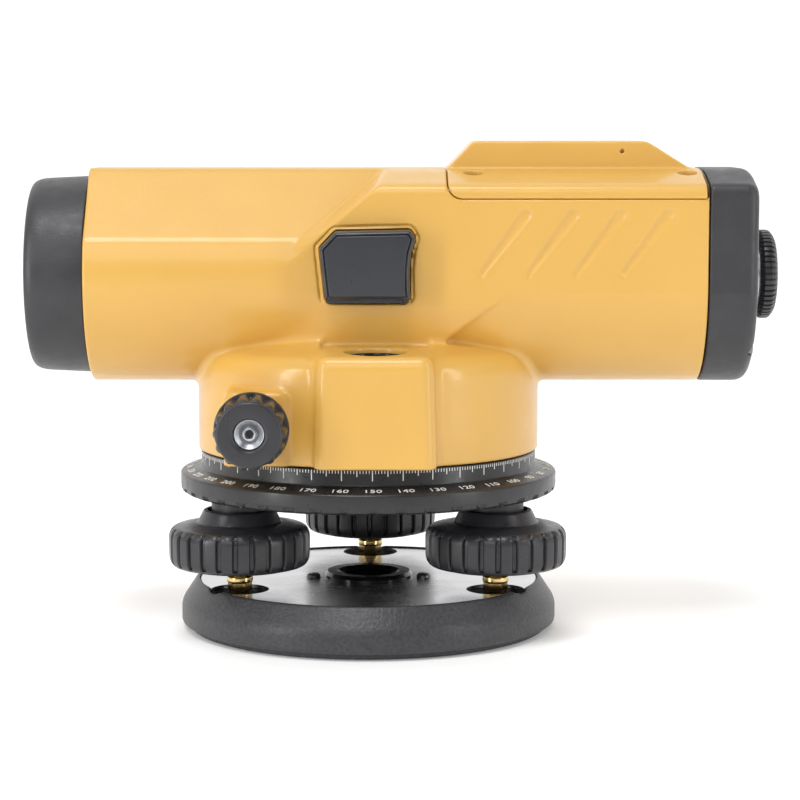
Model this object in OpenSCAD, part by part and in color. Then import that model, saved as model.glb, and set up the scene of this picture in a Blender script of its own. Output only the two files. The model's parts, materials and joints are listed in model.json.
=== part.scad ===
// Automatic level: a surveying telescope with a built-in compensator on a three-screw base.
// The origin is the centre of the tripod thread on the underside of the base.
// X runs from the objective (-X) to the eyepiece (+X), and Z is the vertical axis.

/* [Telescope] */
// Height of the line of sight above the underside
sight_h = 102.6; // [102:0.1:103.2]
// Outer radius of the telescope tube
tube_r = 30.7; // [30.5:0.1:31.2]
// Radius of the bore through the telescope
bore_r = 26.5; // [26.2:0.1:26.8]
// Where the casting starts, behind the objective hood
tube_front_x = -79; // [-82:0.5:-78]
// Where the casting ends, at the rear cover
tube_rear_x = 94.8; // [94:0.2:96]
// Height of the flat top above the line of sight
top_rise = 30.7; // [30.5:0.1:31]
// Half width of the squared rear body
block_half_w = 30.4; // [30:0.1:30.7]

/* [Pedestal] */
// Outer radius of the round pedestal
pedestal_r = 49.2; // [48.8:0.1:49.6]
// Height of the underside of the pedestal
pedestal_z = 52.5; // [52.4:0.1:53]
// Height where the shoulder starts to slope
shoulder_z = 77.5; // [77:0.5:79]
// Radius of the hollow inside the pedestal
pedestal_bore_r = 46; // [45.5:0.1:46.2]
// Centre of the circular level, along the telescope
level_x = 2.4; // [1:0.1:3]
// Centre of the circular level, across the telescope
level_y = -40; // [-41:0.5:-39.5]

/* [Horizontal drive] */
// Distance from the vertical axis to the tangent shaft
tangent_x = 31; // [31:0.1:31.3]
// Height of the tangent shaft
tangent_z = 63.5; // [63.2:0.1:63.8]
// Outer radius of the tangent knobs
tangent_knob_r = 9.75; // [9:0.05:10]
// Distance from the centre plane to the tangent knob's outer face
tangent_face_y = 64; // [62:0.5:66]
// Teeth on the worm wheel
worm_teeth = 110; // [100:1:120]

/* [Circle] */
// Outer radius of the circle's rim
circle_r = 54.5; // [54:0.1:55]
// Radius of the upright graduated band
band_r = 48.5; // [48.3:0.1:48.8]

/* [Base] */
// Outer radius of the base plate
base_r = 54.5; // [54:0.1:56]
// Height of the base plate's rim
base_h = 13.8; // [13.8:0.1:14]
// Radius of the circle through the foot screws
foot_circle_r = 42; // [41.8:0.1:42.2]
// Outer radius of the foot knobs
foot_knob_r = 20; // [19.5:0.1:20.4]
// Ribs around a foot knob
foot_knob_ribs = 26; // [20:1:32]
// Wall radius of the tapped tripod hole, for a 5/8-11 screw
tripod_bore_r = 6.8; // [6.7:0.05:6.9]

/* [Focusing] */
// Outer radius of the focusing knob
focus_knob_r = 18; // [16:0.5:20]
// Teeth on the focusing pinion
pinion_teeth = 12; // [12:1:12]
// Pitch radius of the focusing pinion
pinion_r = 3; // [3:0.1:3]

/* [Hidden] */

$fn = 96;
fit = 0.05;         // gap between pieces that are fixed together
run = 0.04;         // radial clearance of a running fit
cut = 1;            // how far a cutting tool runs past a face
seat = 0.02;        // gap between two faces that are screwed together
far = 60;           // reaches past the telescope's side or the pedestal's floor

// ---- small screws ----
screw_r = 1.2;
tap_r = screw_r + fit;      // hole that such a screw fits in
thin_screw_r = 1;
thin_tap_r = thin_screw_r + fit;
blind = 0.5;                // how far a blind hole runs past its screw

// ---- base ----
base_foot_r = base_r - 2.5;
base_foot_z = [1.6, 2.1];   // where the foot widens to the full radius
base_crease_z = 7.8;
plate_top_z = base_h + 0.2;
plate_t = 1;
plate_r = base_r - 5.6;
bed_r = plate_r + 0.2;
rim_land = 0.5;
pocket_r = [20, 34];        // ring-shaped pocket in the underside
pocket_h = 6;
bushing_r = 12;
bushing_lip = 0.8;
bushing_rise = 1.8;
bushing_land = 3;
foot_hole_r = 8.3;
retainer_z = 10.4;
retainer_t = 1;
retainer_in_r = 3.6;
ball_r = 4;
ball_z = 8.2;
ball_gap = 0.3;
neck_r = 2.6;
neck_top = 13.5;
foot_screw_r = 3;
foot_screw_top = 39.5;
foot_collar_z = [16.4, 18];
foot_collar_w = 0.7;
plate_screw_a = [-6, 90, 186];
plate_screw_at = 16.2;
plate_screw_low = 8.5;
plate_screw_head = [2.1, 1.4];
FEET = [for (a = [210, 330, 90]) foot_circle_r * [cos(a), sin(a)]];

// ---- foot knob heights ----
knob_low = 20.5;
knob_high = 33.4;
knob_floor = 31;
collar_top = 37.2;
collar_bore_r = 9;
collar_r = [9.8, 11.75, 12.6];
rib_depth = 0.95;
rib_land = 0.62;            // share of each rib's spacing that is land
rib_from = 1.2;
rib_h = 10;

// ---- leveling head, spindle and circle ----
head_z = 41;
head_t = 4;
head_r = 50.2;
boss_r = 7.9;
boss_low = 33.6;
foot_bush_r = 5.5;
foot_bush_z = [33.8, 43.8];
front_play = 1.2;           // lets the head tip sideways on the front screws
hub_r = 20;
hub_top = 47.2;
spindle_r = 7;
spindle_top = 72.5;
flange_r = 11;
flange_t = 2;
spindle_screw_a = [30:120:270];
spindle_screw_at = 9;
spindle_screw_top = 46.5;
spindle_screw_head = [1.8, 0.8];
retainer_screw_r = 2;
retainer_screw_low = 58.5;
washer_r = 9;
washer_t = 0.8;
retainer_head = [4, 2.5];
circle_low = 40.2;
rim_top = 46.1;
circle_web = 45.3;
circle_web_t = 2;
rim_edge = 0.5;
rim_fall = 1.4;
band_top = 52.2;
band_t = 2;
skirt_in_r = 50.6;

// ---- inside the pedestal ----
bush_r = 10;
bush_low = 49.5;
bush_top = 72.4;
floor_z = 73.6;
clearance_r = 9.3;          // bore above the spindle's retainer
clearance_top = 78;
wheel_t = 5;
wheel_tip_r = tangent_x - 4.1;
wheel_tooth = 0.8;
wheel_hub_r = 14;
wheel_hub_z = [58, 66.8];
spring_r = 13.5;
spring_z = [56.4, 57.7];
worm_tip_r = 3.9;
worm_half = 8;
worm_root_r = 3;
worm_pitch = 1.56;
worm_thread = [0.45, 0.85, 1.3];
shaft_r = 3;
shaft_hole_r = 0.9;
shaft_hole_y = 8;
tangent_bush_r = 5;
tangent_bush_y = [34, 49.4];
tangent_boss_r = 8.5;
tangent_boss_y = 49.5;
knob_bore_gap = 0.02;       // press fit of a knob on its shaft
knob_body = 12.8;
knob_flange_y = 14;
knob_recess = 3.4;
lobe_depth = 1.1;
level_r = 8.4;
level_low = 74;
level_bore_r = 7.2;
level_floor = 76;
level_case_top = 82.6;
level_glass_z = [81.4, 0.8];
level_screw_at = 5.5;
level_screw_low = 61.5;
level_top = 83.3;
level_column_r = 11.5;
level_column_z = 62;
hub_column_r = 13.5;
hub_column_z = 67.5;
ledge_slope = 0.15;
shoulder_rise = [4, 8.1];   // height of the shoulder's rounded edge and of its top
shoulder_in = [1.9, 19];    // how far these lie inside the pedestal's wall
boss_x0 = -14.3;
boss_x1 = 19.2;
boss_front = 53;
boss_corner = 4;
mirror_case_y = [-38, -28.7];
mirror_x0 = -11;
mirror_y = -36.4;
mirror_z = 98.9;
mirror_w = 20.5;
mirror_d = 5.4;
mirror_t = 1.3;

// ---- telescope section ----
facet_y = 28.7;
facet_z = 10.9;
flat_y = 11;
block_chamfer_z = 26.2;
block_chamfer_y = 14;
block_low = -3.6;
skirt_x = [-14, 39.4, 15.6];
skirt_z = [80, 99.6];
step_x = [-18.6, 5];
pad_x = [-39, -21];
pad_z = 73;
pad_front = 45.5;
pad_back = 25;
focus_boss_r = 9;
focus_boss_y = [26, 32.4];
cover_x0 = 22.3;
cover_x1 = 94.4;
cover_z = 125;
cover_corner = 4.2;
cover_screw_x = [29.9, 89.9];
cover_screw_y = 17.5;
hatch_x0 = 34;
hatch_x1 = 86;
hatch_half_w = 18;
hatch_top = 129.5;
rib_top = 140.9;
rib_half_w = 13;
rib_x = [30, 79, 91.2];
rib_wall = 2.5;
peep_r = 0.6;
peep_at = [72, 138];
counterbore_r = 2.75;
counterbore_z = 129.8;
cover_screw_z = [122.7, 130, 131.4];
cover_screw_head_r = 2.4;
cover_key_r = 1;
groove_start = [31.8, 104.2];
groove_pitch = 13.1;
groove_size = [21, 1];
groove_slant = 53.5;
groove_depth = 0.8;

// ---- rear cover and eyepiece ----
rear_x0 = tube_rear_x + 0.3;
rear_x1 = 109;
rear_wall = 2.5;
rear_bore_r = 25.5;
rear_edge = 2;
rear_edge_in = 1.4;
rear_screw_d = 19.5;
rear_screw_x = [-8, -1];    // reach into the casting and out of the cover
rear_head_r = 1.95;
rear_head_x = [1.95, 0.4];
eye_tube_r = 11;
eye_tube_x1 = 112;
eye_flange_r = 14;
eye_flange_x = 103.8;
eye_in_r = 9.1;
eye_x0 = 85;
eye_step_x = 98;
spigot_r = 9.5;
spigot_x1 = 116;
diopter_x1 = 117;
diopter_r = 12.8;
diopter_hole_r = 7;
diopter_ribs = 48;
diopter_rib_depth = 0.8;
diopter_rib_w = 2.9;
eye_bore_r = 8;
eye_cell_x = [104.5, 113.5];
eye_cell_in_r = 6.2;
eye_lens_r = 6.15;
reticle_x = 88;
reticle_r = [5.95, 6, 8.3];
reticle_t = [0.6, 1.5];
reticle_screw_r = 0.8;
reticle_screw_at = [8.35, 12.6];

// ---- objective ----
hood_x0 = -96;
hood_x1 = tube_front_x - 0.2;
hood_r0 = 27.6;
hood_r1 = 28.3;
hood_in_r = 24;
hood_lip = 9;
cell_x = [-89, -88, -72];
cell_r = 23.9;
cell_lip_r = 18.6;
lens_r = 20;

// ---- focusing ----
focus_y0 = 33;
focus_y1 = 51;
focus_relief = 0.7;
focus_bush_r = 5.5;
focus_bush_y = [24.5, 32.3];
guide_r = bore_r - fit;
guide_in_r = 14.5;
guide_x = [-67, -64, -15, -12];
rod_r = 1.5;
rod_off = 20;
carriage_r = [12.5, 17];
carriage_x = [-45, -37];
carriage_eye_r = 3.2;
focus_lens_r = 12.4;
rack_y0 = 15.5;
rack_y1 = 20;
rack_x1 = 17;
rack_low = 7;
rack_half = 10;
tooth_pitch = 2 * PI * pinion_r / pinion_teeth;
tooth_h = 0.45;
tooth_root = 0.75;
tooth_half_w = [0.5, 0.22];
pinion_root = 0.65;

// ---- compensator ----
comp_x = 51;
frame_half = [16, 13.4];
frame_z = [80, 83, 121];
frame_wall = 1.4;
frame_wall_half = 12;
bridge_x = 8;
bridge_half = 1.5;
bridge_z = 118.5;
magnet_r = 3;
magnet_y = [7, 14];
magnet_z = 88;
prism_half_w = 8;
prism_x = [9.8, 12.5, 15.5];
prism_z = [83.1, 97, 110];
pendulum_half = [8, 10];
pendulum_z = [93, 95, 106];
pendulum_wall = 2;
vane_half = [3, 1.2];
vane_low = 84.5;
swing_half = [7.8, 2];
wire_r = 0.15;
wire_at = [5, 9];
wire_lean = 13;
wire_len = 12.2;

// ---------- helpers ----------
// A solid or hollow round bar along Z between two heights
module bar_z(r, z0, z1, ri = 0) {
    translate([0, 0, z0]) difference() {
        cylinder(h = z1 - z0, r = r);
        if (ri > 0) translate([0, 0, -cut]) cylinder(h = z1 - z0 + 2 * cut, r = ri);
    }
}
// The same along X, on the line of sight unless moved by y and z
module bar_x(r, x0, x1, ri = 0, y = 0, z = 0) {
    translate([0, y, sight_h + z]) rotate([0, 90, 0]) bar_z(r, x0, x1, ri);
}
// The same along Y at a place given by x and z
module bar_y(r, y0, y1, ri = 0, x = 0, z = sight_h) {
    translate([x, 0, z]) rotate([-90, 0, 0]) bar_z(r, y0, y1, ri);
}
// A profile of [radius, x] points turned about the line of sight
module turned_x(points) {
    translate([0, 0, sight_h]) rotate([0, 90, 0]) rotate_extrude() polygon(points);
}
// An outline in the Y-Z plane drawn out along X
module along_x(x0, x1) {
    translate([x0, 0, 0]) rotate([90, 0, 90]) linear_extrude(x1 - x0) children();
}
// An outline in the X-Z plane drawn out along Y
module along_y(y0, y1) {
    translate([0, y1, 0]) rotate([90, 0, 0]) linear_extrude(y1 - y0) children();
}
// A block between two corners
module block(low, high) {
    translate(low) cube(high - low);
}
module at_feet() {
    for (p = FEET) translate([p[0], p[1], 0]) children();
}
module at_plate_screws() {
    for (a = plate_screw_a) rotate([0, 0, a]) translate([plate_screw_at, 0, 0]) children();
}
module at_spindle_screws() {
    for (a = spindle_screw_a) rotate([0, 0, a]) translate([spindle_screw_at, 0, 0]) children();
}
module at_cover_screws() {
    for (x = cover_screw_x) for (s = [-1, 1]) translate([x, s * cover_screw_y, 0]) children();
}
module at_level_screws() {
    translate([level_x, level_y, 0]) for (a = [0:120:240])
        rotate([0, 0, a + 30]) translate([level_screw_at, 0, 0]) children();
}
// Bars along the line of sight at the rear cover's four corners
module rear_bars(r, x0, x1) {
    for (a = [-1, 1]) for (b = [-1, 1]) bar_x(r, x0, x1, 0, a * rear_screw_d, b * rear_screw_d);
}
// Bars along Y on both sides, between two distances from the centre plane
module side_bars(r, y0, y1, ri = 0, x = 0, z = sight_h) {
    bar_y(r, y0, y1, ri, x, z);
    bar_y(r, -y1, -y0, ri, x, z);
}
// A copy on each side of the centre plane
module both_sides() {
    children();
    mirror([0, 1, 0]) children();
}
// Points of a ribbed or toothed outline: each rib has a land at r1 and a groove at r0
function rib_points(n, r0, r1, land, ramp = 0.06) = [for (i = [0:n - 1])
    for (q = [[r0, -land / 2 - ramp], [r1, -land / 2], [r1, land / 2], [r0, land / 2 + ramp]])
        q[0] * [cos(360 / n * (i + q[1])), sin(360 / n * (i + q[1]))]];
// Points of a knob outline with n hollows pressed into its rim
function lobe_points(n, r, depth) = [for (a = [0:3:359])
    let (rr = r - depth * pow(abs(sin(a * n / 2)), 4)) rr * [cos(a), sin(a)]];
// A rectangle with rounded corners
function round_box(x0, y0, x1, y1, r) = [
    for (c = [[x1 - r, y1 - r, 0], [x0 + r, y1 - r, 90], [x0 + r, y0 + r, 180], [x1 - r, y0 + r, 270]])
        for (a = [0:15:90]) [c[0] + r * cos(c[2] + a), c[1] + r * sin(c[2] + a)]];
// Half outline of a lens face: a shallow arc of sagitta s from the axis to the rim
function lens_face(r, x, s) = [for (i = [0:8]) [r * i / 8, x + s * (1 - pow(i / 8, 2))]];
module lens(r, x0, s0, x1, s1) {
    turned_x(concat(lens_face(r, x0, s0), [for (i = [8:-1:0]) lens_face(r, x1, s1)[i]]));
}

// ---------- base ----------
module base_plate() {
    color([0.26, 0.26, 0.28]) difference() {
        rotate_extrude() polygon([[0, 0], [base_foot_r, 0], [base_foot_r, base_foot_z[0]],
            [base_r, base_foot_z[1]], [base_r, base_crease_z], [bed_r + rim_land, base_h], [bed_r, base_h],
            [bed_r, plate_top_z - plate_t - fit], [0, plate_top_z - plate_t - fit]]);
        bar_z(bushing_r + fit, -cut, base_h + cut);
        bar_z(pocket_r[1], -cut, pocket_h, pocket_r[0]);
        at_feet() {
            bar_z(foot_hole_r, retainer_z - fit, base_h + cut);
            bar_z(ball_r + ball_gap, ball_z - ball_r - ball_gap, base_h);
        }
        at_plate_screws() bar_z(tap_r, plate_screw_low - blind, base_h);
    }
}
module tripod_bushing() {
    color([0.13, 0.13, 0.14]) rotate_extrude() polygon([[tripod_bore_r, 0], [bushing_r, 0],
        [bushing_r, plate_top_z + fit], [bushing_r + bushing_lip, plate_top_z + fit],
        [bushing_r + bushing_lip, plate_top_z + bushing_lip], [bushing_r, plate_top_z + bushing_rise],
        [bushing_r - bushing_land, plate_top_z + bushing_rise], [tripod_bore_r, plate_top_z + bushing_lip]]);
}
module spring_plate() {
    color([0.82, 0.82, 0.83]) difference() {
        bar_z(plate_r, plate_top_z - plate_t, plate_top_z, bushing_r + 2 * fit);
        at_feet() bar_z(foot_hole_r, 0, base_h + cut);
        at_plate_screws() bar_z(screw_r + 2 * fit, 0, base_h + cut);
    }
}
module spring_plate_screws() {
    r = plate_screw_head[0];
    z0 = plate_top_z + seat;
    z1 = plate_top_z + plate_screw_head[1];
    color([0.12, 0.12, 0.13]) at_plate_screws() rotate_extrude() polygon([[0, plate_screw_low],
        [screw_r, plate_screw_low], [screw_r, z0], [r, z0], [0.95 * r, (z0 + z1) / 2], [0.7 * r, z1 - 0.2],
        [0, z1]]);
}
module ball_retainers() {
    color([0.35, 0.34, 0.33]) at_feet()
        bar_z(foot_hole_r - 2 * fit, retainer_z, retainer_z + retainer_t, retainer_in_r);
}
module foot_screw(i) {
    color([0.78, 0.62, 0.32]) translate([FEET[i][0], FEET[i][1], 0]) {
        translate([0, 0, ball_z]) sphere(r = ball_r);
        bar_z(neck_r, ball_z, neck_top);
        bar_z(foot_screw_r, neck_top, foot_screw_top);
        bar_z(foot_screw_r + foot_collar_w, foot_collar_z[0], foot_collar_z[1]);
    }
}
module foot_screw_front_left() { foot_screw(0); }
module foot_screw_front_right() { foot_screw(1); }
module foot_screw_rear() { foot_screw(2); }
module foot_knob(i) {
    color([0.2, 0.2, 0.21]) translate([FEET[i][0], FEET[i][1], 0]) difference() {
        union() {
            rotate_extrude() polygon([[0, knob_low], [foot_knob_r - 3, knob_low],
                [foot_knob_r - 1, knob_low + 1.4], [foot_knob_r - 0.9, knob_high - 2],
                [foot_knob_r - 2.6, knob_high - 0.8], [collar_r[2], knob_high], [collar_r[1], knob_high],
                [collar_r[0], collar_top], [0, collar_top]]);
            translate([0, 0, knob_low + rib_from]) linear_extrude(rib_h)
                polygon(rib_points(foot_knob_ribs, foot_knob_r - rib_depth, foot_knob_r, rib_land));
        }
        bar_z(foot_screw_r + run, 0, collar_top);
        bar_z(collar_bore_r, knob_floor, collar_top + cut);
    }
}
module foot_knob_front_left() { foot_knob(0); }
module foot_knob_front_right() { foot_knob(1); }
module foot_knob_rear() { foot_knob(2); }

// ---------- leveling head and vertical axis ----------
module leveling_head() {
    color([0.17, 0.17, 0.18]) difference() {
        union() {
            bar_z(head_r, head_z, head_z + head_t);
            bar_z(hub_r, head_z, hub_top);
            at_feet() bar_z(boss_r, boss_low, head_z + cut);
        }
        bar_z(spindle_r + fit, 0, hub_top + cut);
        bar_z(flange_r + fit, 0, head_z + flange_t + fit);
        at_feet() bar_z(foot_bush_r + fit, 0, head_z + head_t - cut);
        at_spindle_screws() bar_z(thin_tap_r, head_z, spindle_screw_top + 0.2);
    }
}
module foot_screw_bushes() {
    color([0.72, 0.58, 0.3]) for (i = [0:2]) translate([FEET[i][0], FEET[i][1], 0])
        bar_z(foot_bush_r, foot_bush_z[0], foot_bush_z[1], foot_screw_r + (i == 2 ? run : front_play));
}
module spindle() {
    color([0.75, 0.76, 0.78]) difference() {
        union() {
            bar_z(flange_r, head_z + seat, head_z + flange_t);
            bar_z(spindle_r, head_z + seat, spindle_top);
        }
        bar_z(retainer_screw_r + fit, retainer_screw_low - blind, spindle_top + cut);
        at_spindle_screws() {
            bar_z(thin_tap_r, 0, head_z + head_t);
            bar_z(spindle_screw_head[0] + fit, 0, head_z + spindle_screw_head[1] + fit);
        }
    }
}
module spindle_screws() {
    color([0.6, 0.6, 0.62]) at_spindle_screws() {
        bar_z(thin_screw_r, head_z + seat, spindle_screw_top);
        bar_z(spindle_screw_head[0], head_z + seat, head_z + spindle_screw_head[1]);
    }
}
module spindle_retainer() {
    z = spindle_top + fit;
    color([0.6, 0.6, 0.62]) {
        bar_z(retainer_screw_r, retainer_screw_low, z + washer_t);
        bar_z(washer_r, z, z + washer_t);
        bar_z(retainer_head[0], z, z + washer_t / 2 + retainer_head[1]);
    }
}
module horizontal_circle() {
    color([0.2, 0.2, 0.21]) rotate_extrude() polygon([[hub_r + run, circle_web], [skirt_in_r, circle_web],
        [skirt_in_r, circle_low], [circle_r - rim_edge, circle_low], [circle_r, circle_low + rim_edge],
        [circle_r, rim_top - rim_edge], [circle_r - rim_edge, rim_top], [band_r, rim_top + rim_fall],
        [band_r, band_top], [band_r - band_t, band_top], [band_r - band_t, circle_web + circle_web_t],
        [hub_r + run, circle_web + circle_web_t]]);
}
module worm_wheel() {
    color([0.76, 0.6, 0.32]) difference() {
        union() {
            translate([0, 0, tangent_z - wheel_t / 2]) linear_extrude(wheel_t)
                polygon(rib_points(worm_teeth, wheel_tip_r - wheel_tooth, wheel_tip_r, 0.32, 0.16));
            bar_z(wheel_hub_r, wheel_hub_z[0], wheel_hub_z[1]);
        }
        bar_z(bush_r + run, 0, bush_top + cut);
    }
}
module clutch_spring() {
    color([0.55, 0.55, 0.57]) bar_z(spring_r, spring_z[0], spring_z[1], bush_r + 0.2);
}
module axis_bush() {
    color([0.7, 0.5, 0.28]) bar_z(bush_r, bush_low, bush_top, spindle_r + run);
}

// ---------- main housing ----------
module block_section() {
    polygon([for (p = [[-block_half_w, block_low], [-block_half_w, block_chamfer_z],
        [-block_chamfer_y, top_rise], [block_chamfer_y, top_rise], [block_half_w, block_chamfer_z],
        [block_half_w, block_low]]) [p[0], sight_h + p[1]]]);
}
// The flats that run along both sides of the tube's top, in front of the squared body
module nose_flats() {
    along_x(tube_front_x - cut, step_x[1]) for (s = [-1, 1])
        polygon([for (p = [[facet_y, facet_z], [flat_y, top_rise], [flat_y, 40], [40, 40], [40, facet_z]])
            [s * p[0], sight_h + p[1]]]);
}
// The top of the front boss, which falls a little towards its front edge
module above_ledge() {
    along_x(boss_x0 - cut, boss_x1 + cut) polygon([
        [-far, level_top - ledge_slope * (far + level_y)],
        [-block_half_w, level_top - ledge_slope * (block_half_w + level_y)],
        [-block_half_w, sight_h], [-far, sight_h]]);
}
// The tube, with the flats of its front part and the squared body behind
module telescope_shape() {
    difference() {
        bar_x(tube_r, tube_front_x, tube_rear_x);
        nose_flats();
    }
    along_x(tube_front_x, cover_x0) polygon([for (p = [[-facet_y, 0], [-facet_y, facet_z],
        [-flat_y, top_rise], [flat_y, top_rise], [facet_y, facet_z], [facet_y, 0]]) [p[0], sight_h + p[1]]]);
    intersection() {
        along_x(step_x[0] - cut, tube_rear_x) block_section();
        along_y(-far, far) polygon([for (p = [[step_x[0], block_low - cut], [step_x[0], facet_z],
            [step_x[1], top_rise], [tube_rear_x + cut, top_rise], [tube_rear_x + cut, block_low - cut]])
            [p[0], sight_h + p[1]]]);
    }
    along_y(-block_half_w, block_half_w) polygon([[skirt_x[0], skirt_z[1]], [skirt_x[1], skirt_z[1]],
        [skirt_x[2], skirt_z[0]], [skirt_x[0], skirt_z[0]]]);
    bar_y(focus_boss_r, focus_boss_y[0], focus_boss_y[1]);
}
// The round pedestal with its shoulder, its front boss and the pads of the tangent shaft
module pedestal_shape() {
    shoulder_top = shoulder_z + shoulder_rise[1];
    difference() {
        union() {
            rotate_extrude() polygon([[0, pedestal_z], [pedestal_r, pedestal_z], [pedestal_r, shoulder_z],
                [pedestal_r - shoulder_in[0], shoulder_z + shoulder_rise[0]],
                [pedestal_r - shoulder_in[1], shoulder_top], [0, shoulder_top]]);
            translate([0, 0, pedestal_z]) linear_extrude(shoulder_top - pedestal_z)
                polygon(round_box(boss_x0, -boss_front, boss_x1, -20, boss_corner));
        }
        above_ledge();
    }
    both_sides() block([pad_x[0], pad_back, pedestal_z], [pad_x[1], pad_front, pad_z]);
    side_bars(tangent_boss_r, pad_back, tangent_boss_y, 0, -tangent_x, tangent_z);
}
// The hollow of the pedestal, which leaves columns under the circular level and over the axis
module pedestal_hollow() {
    difference() {
        bar_z(pedestal_bore_r, pedestal_z - cut, floor_z);
        translate([level_x, level_y, 0]) bar_z(level_column_r, level_column_z, floor_z + cut);
        bar_z(hub_column_r, hub_column_z, floor_z + cut);
        side_bars(tangent_boss_r, tangent_bush_y[0] - 2, tangent_boss_y, 0, -tangent_x, tangent_z);
    }
}
module mirror_outline(grow = 0) {
    polygon([[-12.9 - grow, 98.5], [-12.9 - grow, 114.2], [-10.6 - grow, 116.6 + grow],
        [11.4 + grow, 116.6 + grow], [13.3 + grow, 114.8], [11.6 + grow, 108], [11.3 + grow, 99.5],
        [9.6, 96 - grow], [-10.6, 96 - grow]]);
}
// Side view of the top cover's seat: a rounded lower corner towards the objective
module cover_outline(gap) {
    x0 = cover_x0 + gap;
    z0 = cover_z + gap / 2;
    polygon(concat([[x0, 150]], [for (a = [180:15:270])
        [x0 + cover_corner * (1 + cos(a)), z0 + cover_corner * (1 + sin(a))]],
        [[cover_x1 - gap, z0], [cover_x1 - gap, 150]]));
}
module diagonal_grooves() {
    deep = block_half_w - groove_depth;
    both_sides() for (i = [0:3]) translate([groove_start[0] + groove_pitch * i, far, groove_start[1]])
        rotate([90, 0, 0]) linear_extrude(far - deep) rotate([0, 0, groove_slant])
        polygon(round_box(0, -groove_size[1], groove_size[0], groove_size[1], groove_size[1] - 0.01));
}
module main_housing() {
    color([0.9, 0.69, 0.32]) difference() {
        union() {
            telescope_shape();
            pedestal_shape();
        }
        bar_x(bore_r, tube_front_x - cut, tube_rear_x + cut);
        block([hatch_x0, -hatch_half_w, sight_h], [hatch_x1, hatch_half_w, sight_h + 2 * tube_r]);
        pedestal_hollow();
        bar_z(clearance_r, floor_z - cut, clearance_top);
        bar_z(bush_r + fit, hub_column_z - cut, bush_top + 0.5);
        along_y(-far, far) cover_outline(0);
        at_cover_screws() bar_z(tap_r, 117, cover_z + cut);
        rear_bars(thin_tap_r, tube_rear_x + rear_screw_x[0] - cut, tube_rear_x + cut);
        side_bars(tangent_bush_r + fit, pad_back, far, 0, -tangent_x, tangent_z);
        bar_y(focus_bush_r + fit, 20, far);
        bar_y(focus_knob_r + focus_relief, focus_y0 - 0.5, far);
        along_y(-far, mirror_case_y[1] + 0.1) mirror_outline(0.15);
        translate([level_x, level_y, 0]) bar_z(level_r + fit, level_low, sight_h);
        at_level_screws() bar_z(tap_r, level_screw_low - blind, level_low + cut);
        diagonal_grooves();
    }
}
module top_cover() {
    color([0.9, 0.69, 0.32]) difference() {
        union() {
            intersection() {
                along_x(cover_x0, cover_x1) block_section();
                along_y(-far, far) cover_outline(0.15);
            }
            along_y(-rib_half_w, rib_half_w) polygon([[cover_x0 + 0.3, sight_h + top_rise - 1],
                [cover_x0 + 0.3, sight_h + top_rise], [rib_x[0], rib_top], [rib_x[1], rib_top],
                [rib_x[2], sight_h + top_rise], [rib_x[2], sight_h + top_rise - 1]]);
        }
        block([hatch_x0, -hatch_half_w, cover_z - cut], [hatch_x1, hatch_half_w, hatch_top]);
        block([hatch_x0, -rib_half_w + rib_wall, hatch_top - cut],
            [rib_x[1] - cut, rib_half_w - rib_wall, rib_top - rib_wall]);
        at_cover_screws() {
            bar_z(tap_r, cover_z - cut, rib_top);
            bar_z(counterbore_r, counterbore_z, rib_top);
        }
        bar_y(peep_r, -rib_half_w - cut, -rib_half_w + 1.5, 0, peep_at[0], peep_at[1]);
    }
}
module top_cover_screws() {
    color([0.7, 0.62, 0.45]) at_cover_screws() difference() {
        union() {
            bar_z(screw_r, cover_screw_z[0], cover_screw_z[1]);
            bar_z(cover_screw_head_r, counterbore_z + fit, cover_screw_z[2]);
        }
        bar_z(cover_key_r, cover_screw_z[1] + 0.5, cover_screw_z[2] + cut);
    }
}
module rear_cover() {
    in = block_half_w - rear_edge_in;
    color([0.18, 0.18, 0.19]) difference() {
        union() {
            bar_x(tube_r, rear_x0, rear_x1 - rear_edge);
            along_x(rear_x0, rear_x1 - rear_edge) block_section();
            bar_x(tube_r - rear_edge_in, rear_x1 - rear_edge - 0.1, rear_x1);
            along_x(rear_x1 - rear_edge - 0.1, rear_x1) polygon([for (p = [[-in, block_low],
                [-in, block_chamfer_z - 1], [-block_chamfer_y, top_rise - rear_edge_in],
                [block_chamfer_y, top_rise - rear_edge_in], [in, block_chamfer_z - 1], [in, block_low]])
                [p[0], sight_h + p[1]]]);
        }
        bar_x(rear_bore_r, rear_x0 - cut, rear_x1 - rear_wall);
        bar_x(eye_tube_r + fit, rear_x0, rear_x1 + cut);
        rear_bars(thin_tap_r, rear_x0 - cut, rear_x1 + cut);
        rear_bars(rear_head_r + 2 * fit, rear_x1 - rear_head_x[0] - fit, rear_x1 + cut);
    }
}
module rear_cover_screws() {
    color([0.3, 0.3, 0.31]) {
        rear_bars(thin_screw_r, tube_rear_x + rear_screw_x[0], rear_x1 + rear_screw_x[1]);
        rear_bars(rear_head_r, rear_x1 - rear_head_x[0], rear_x1 - rear_head_x[1]);
    }
}

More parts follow.
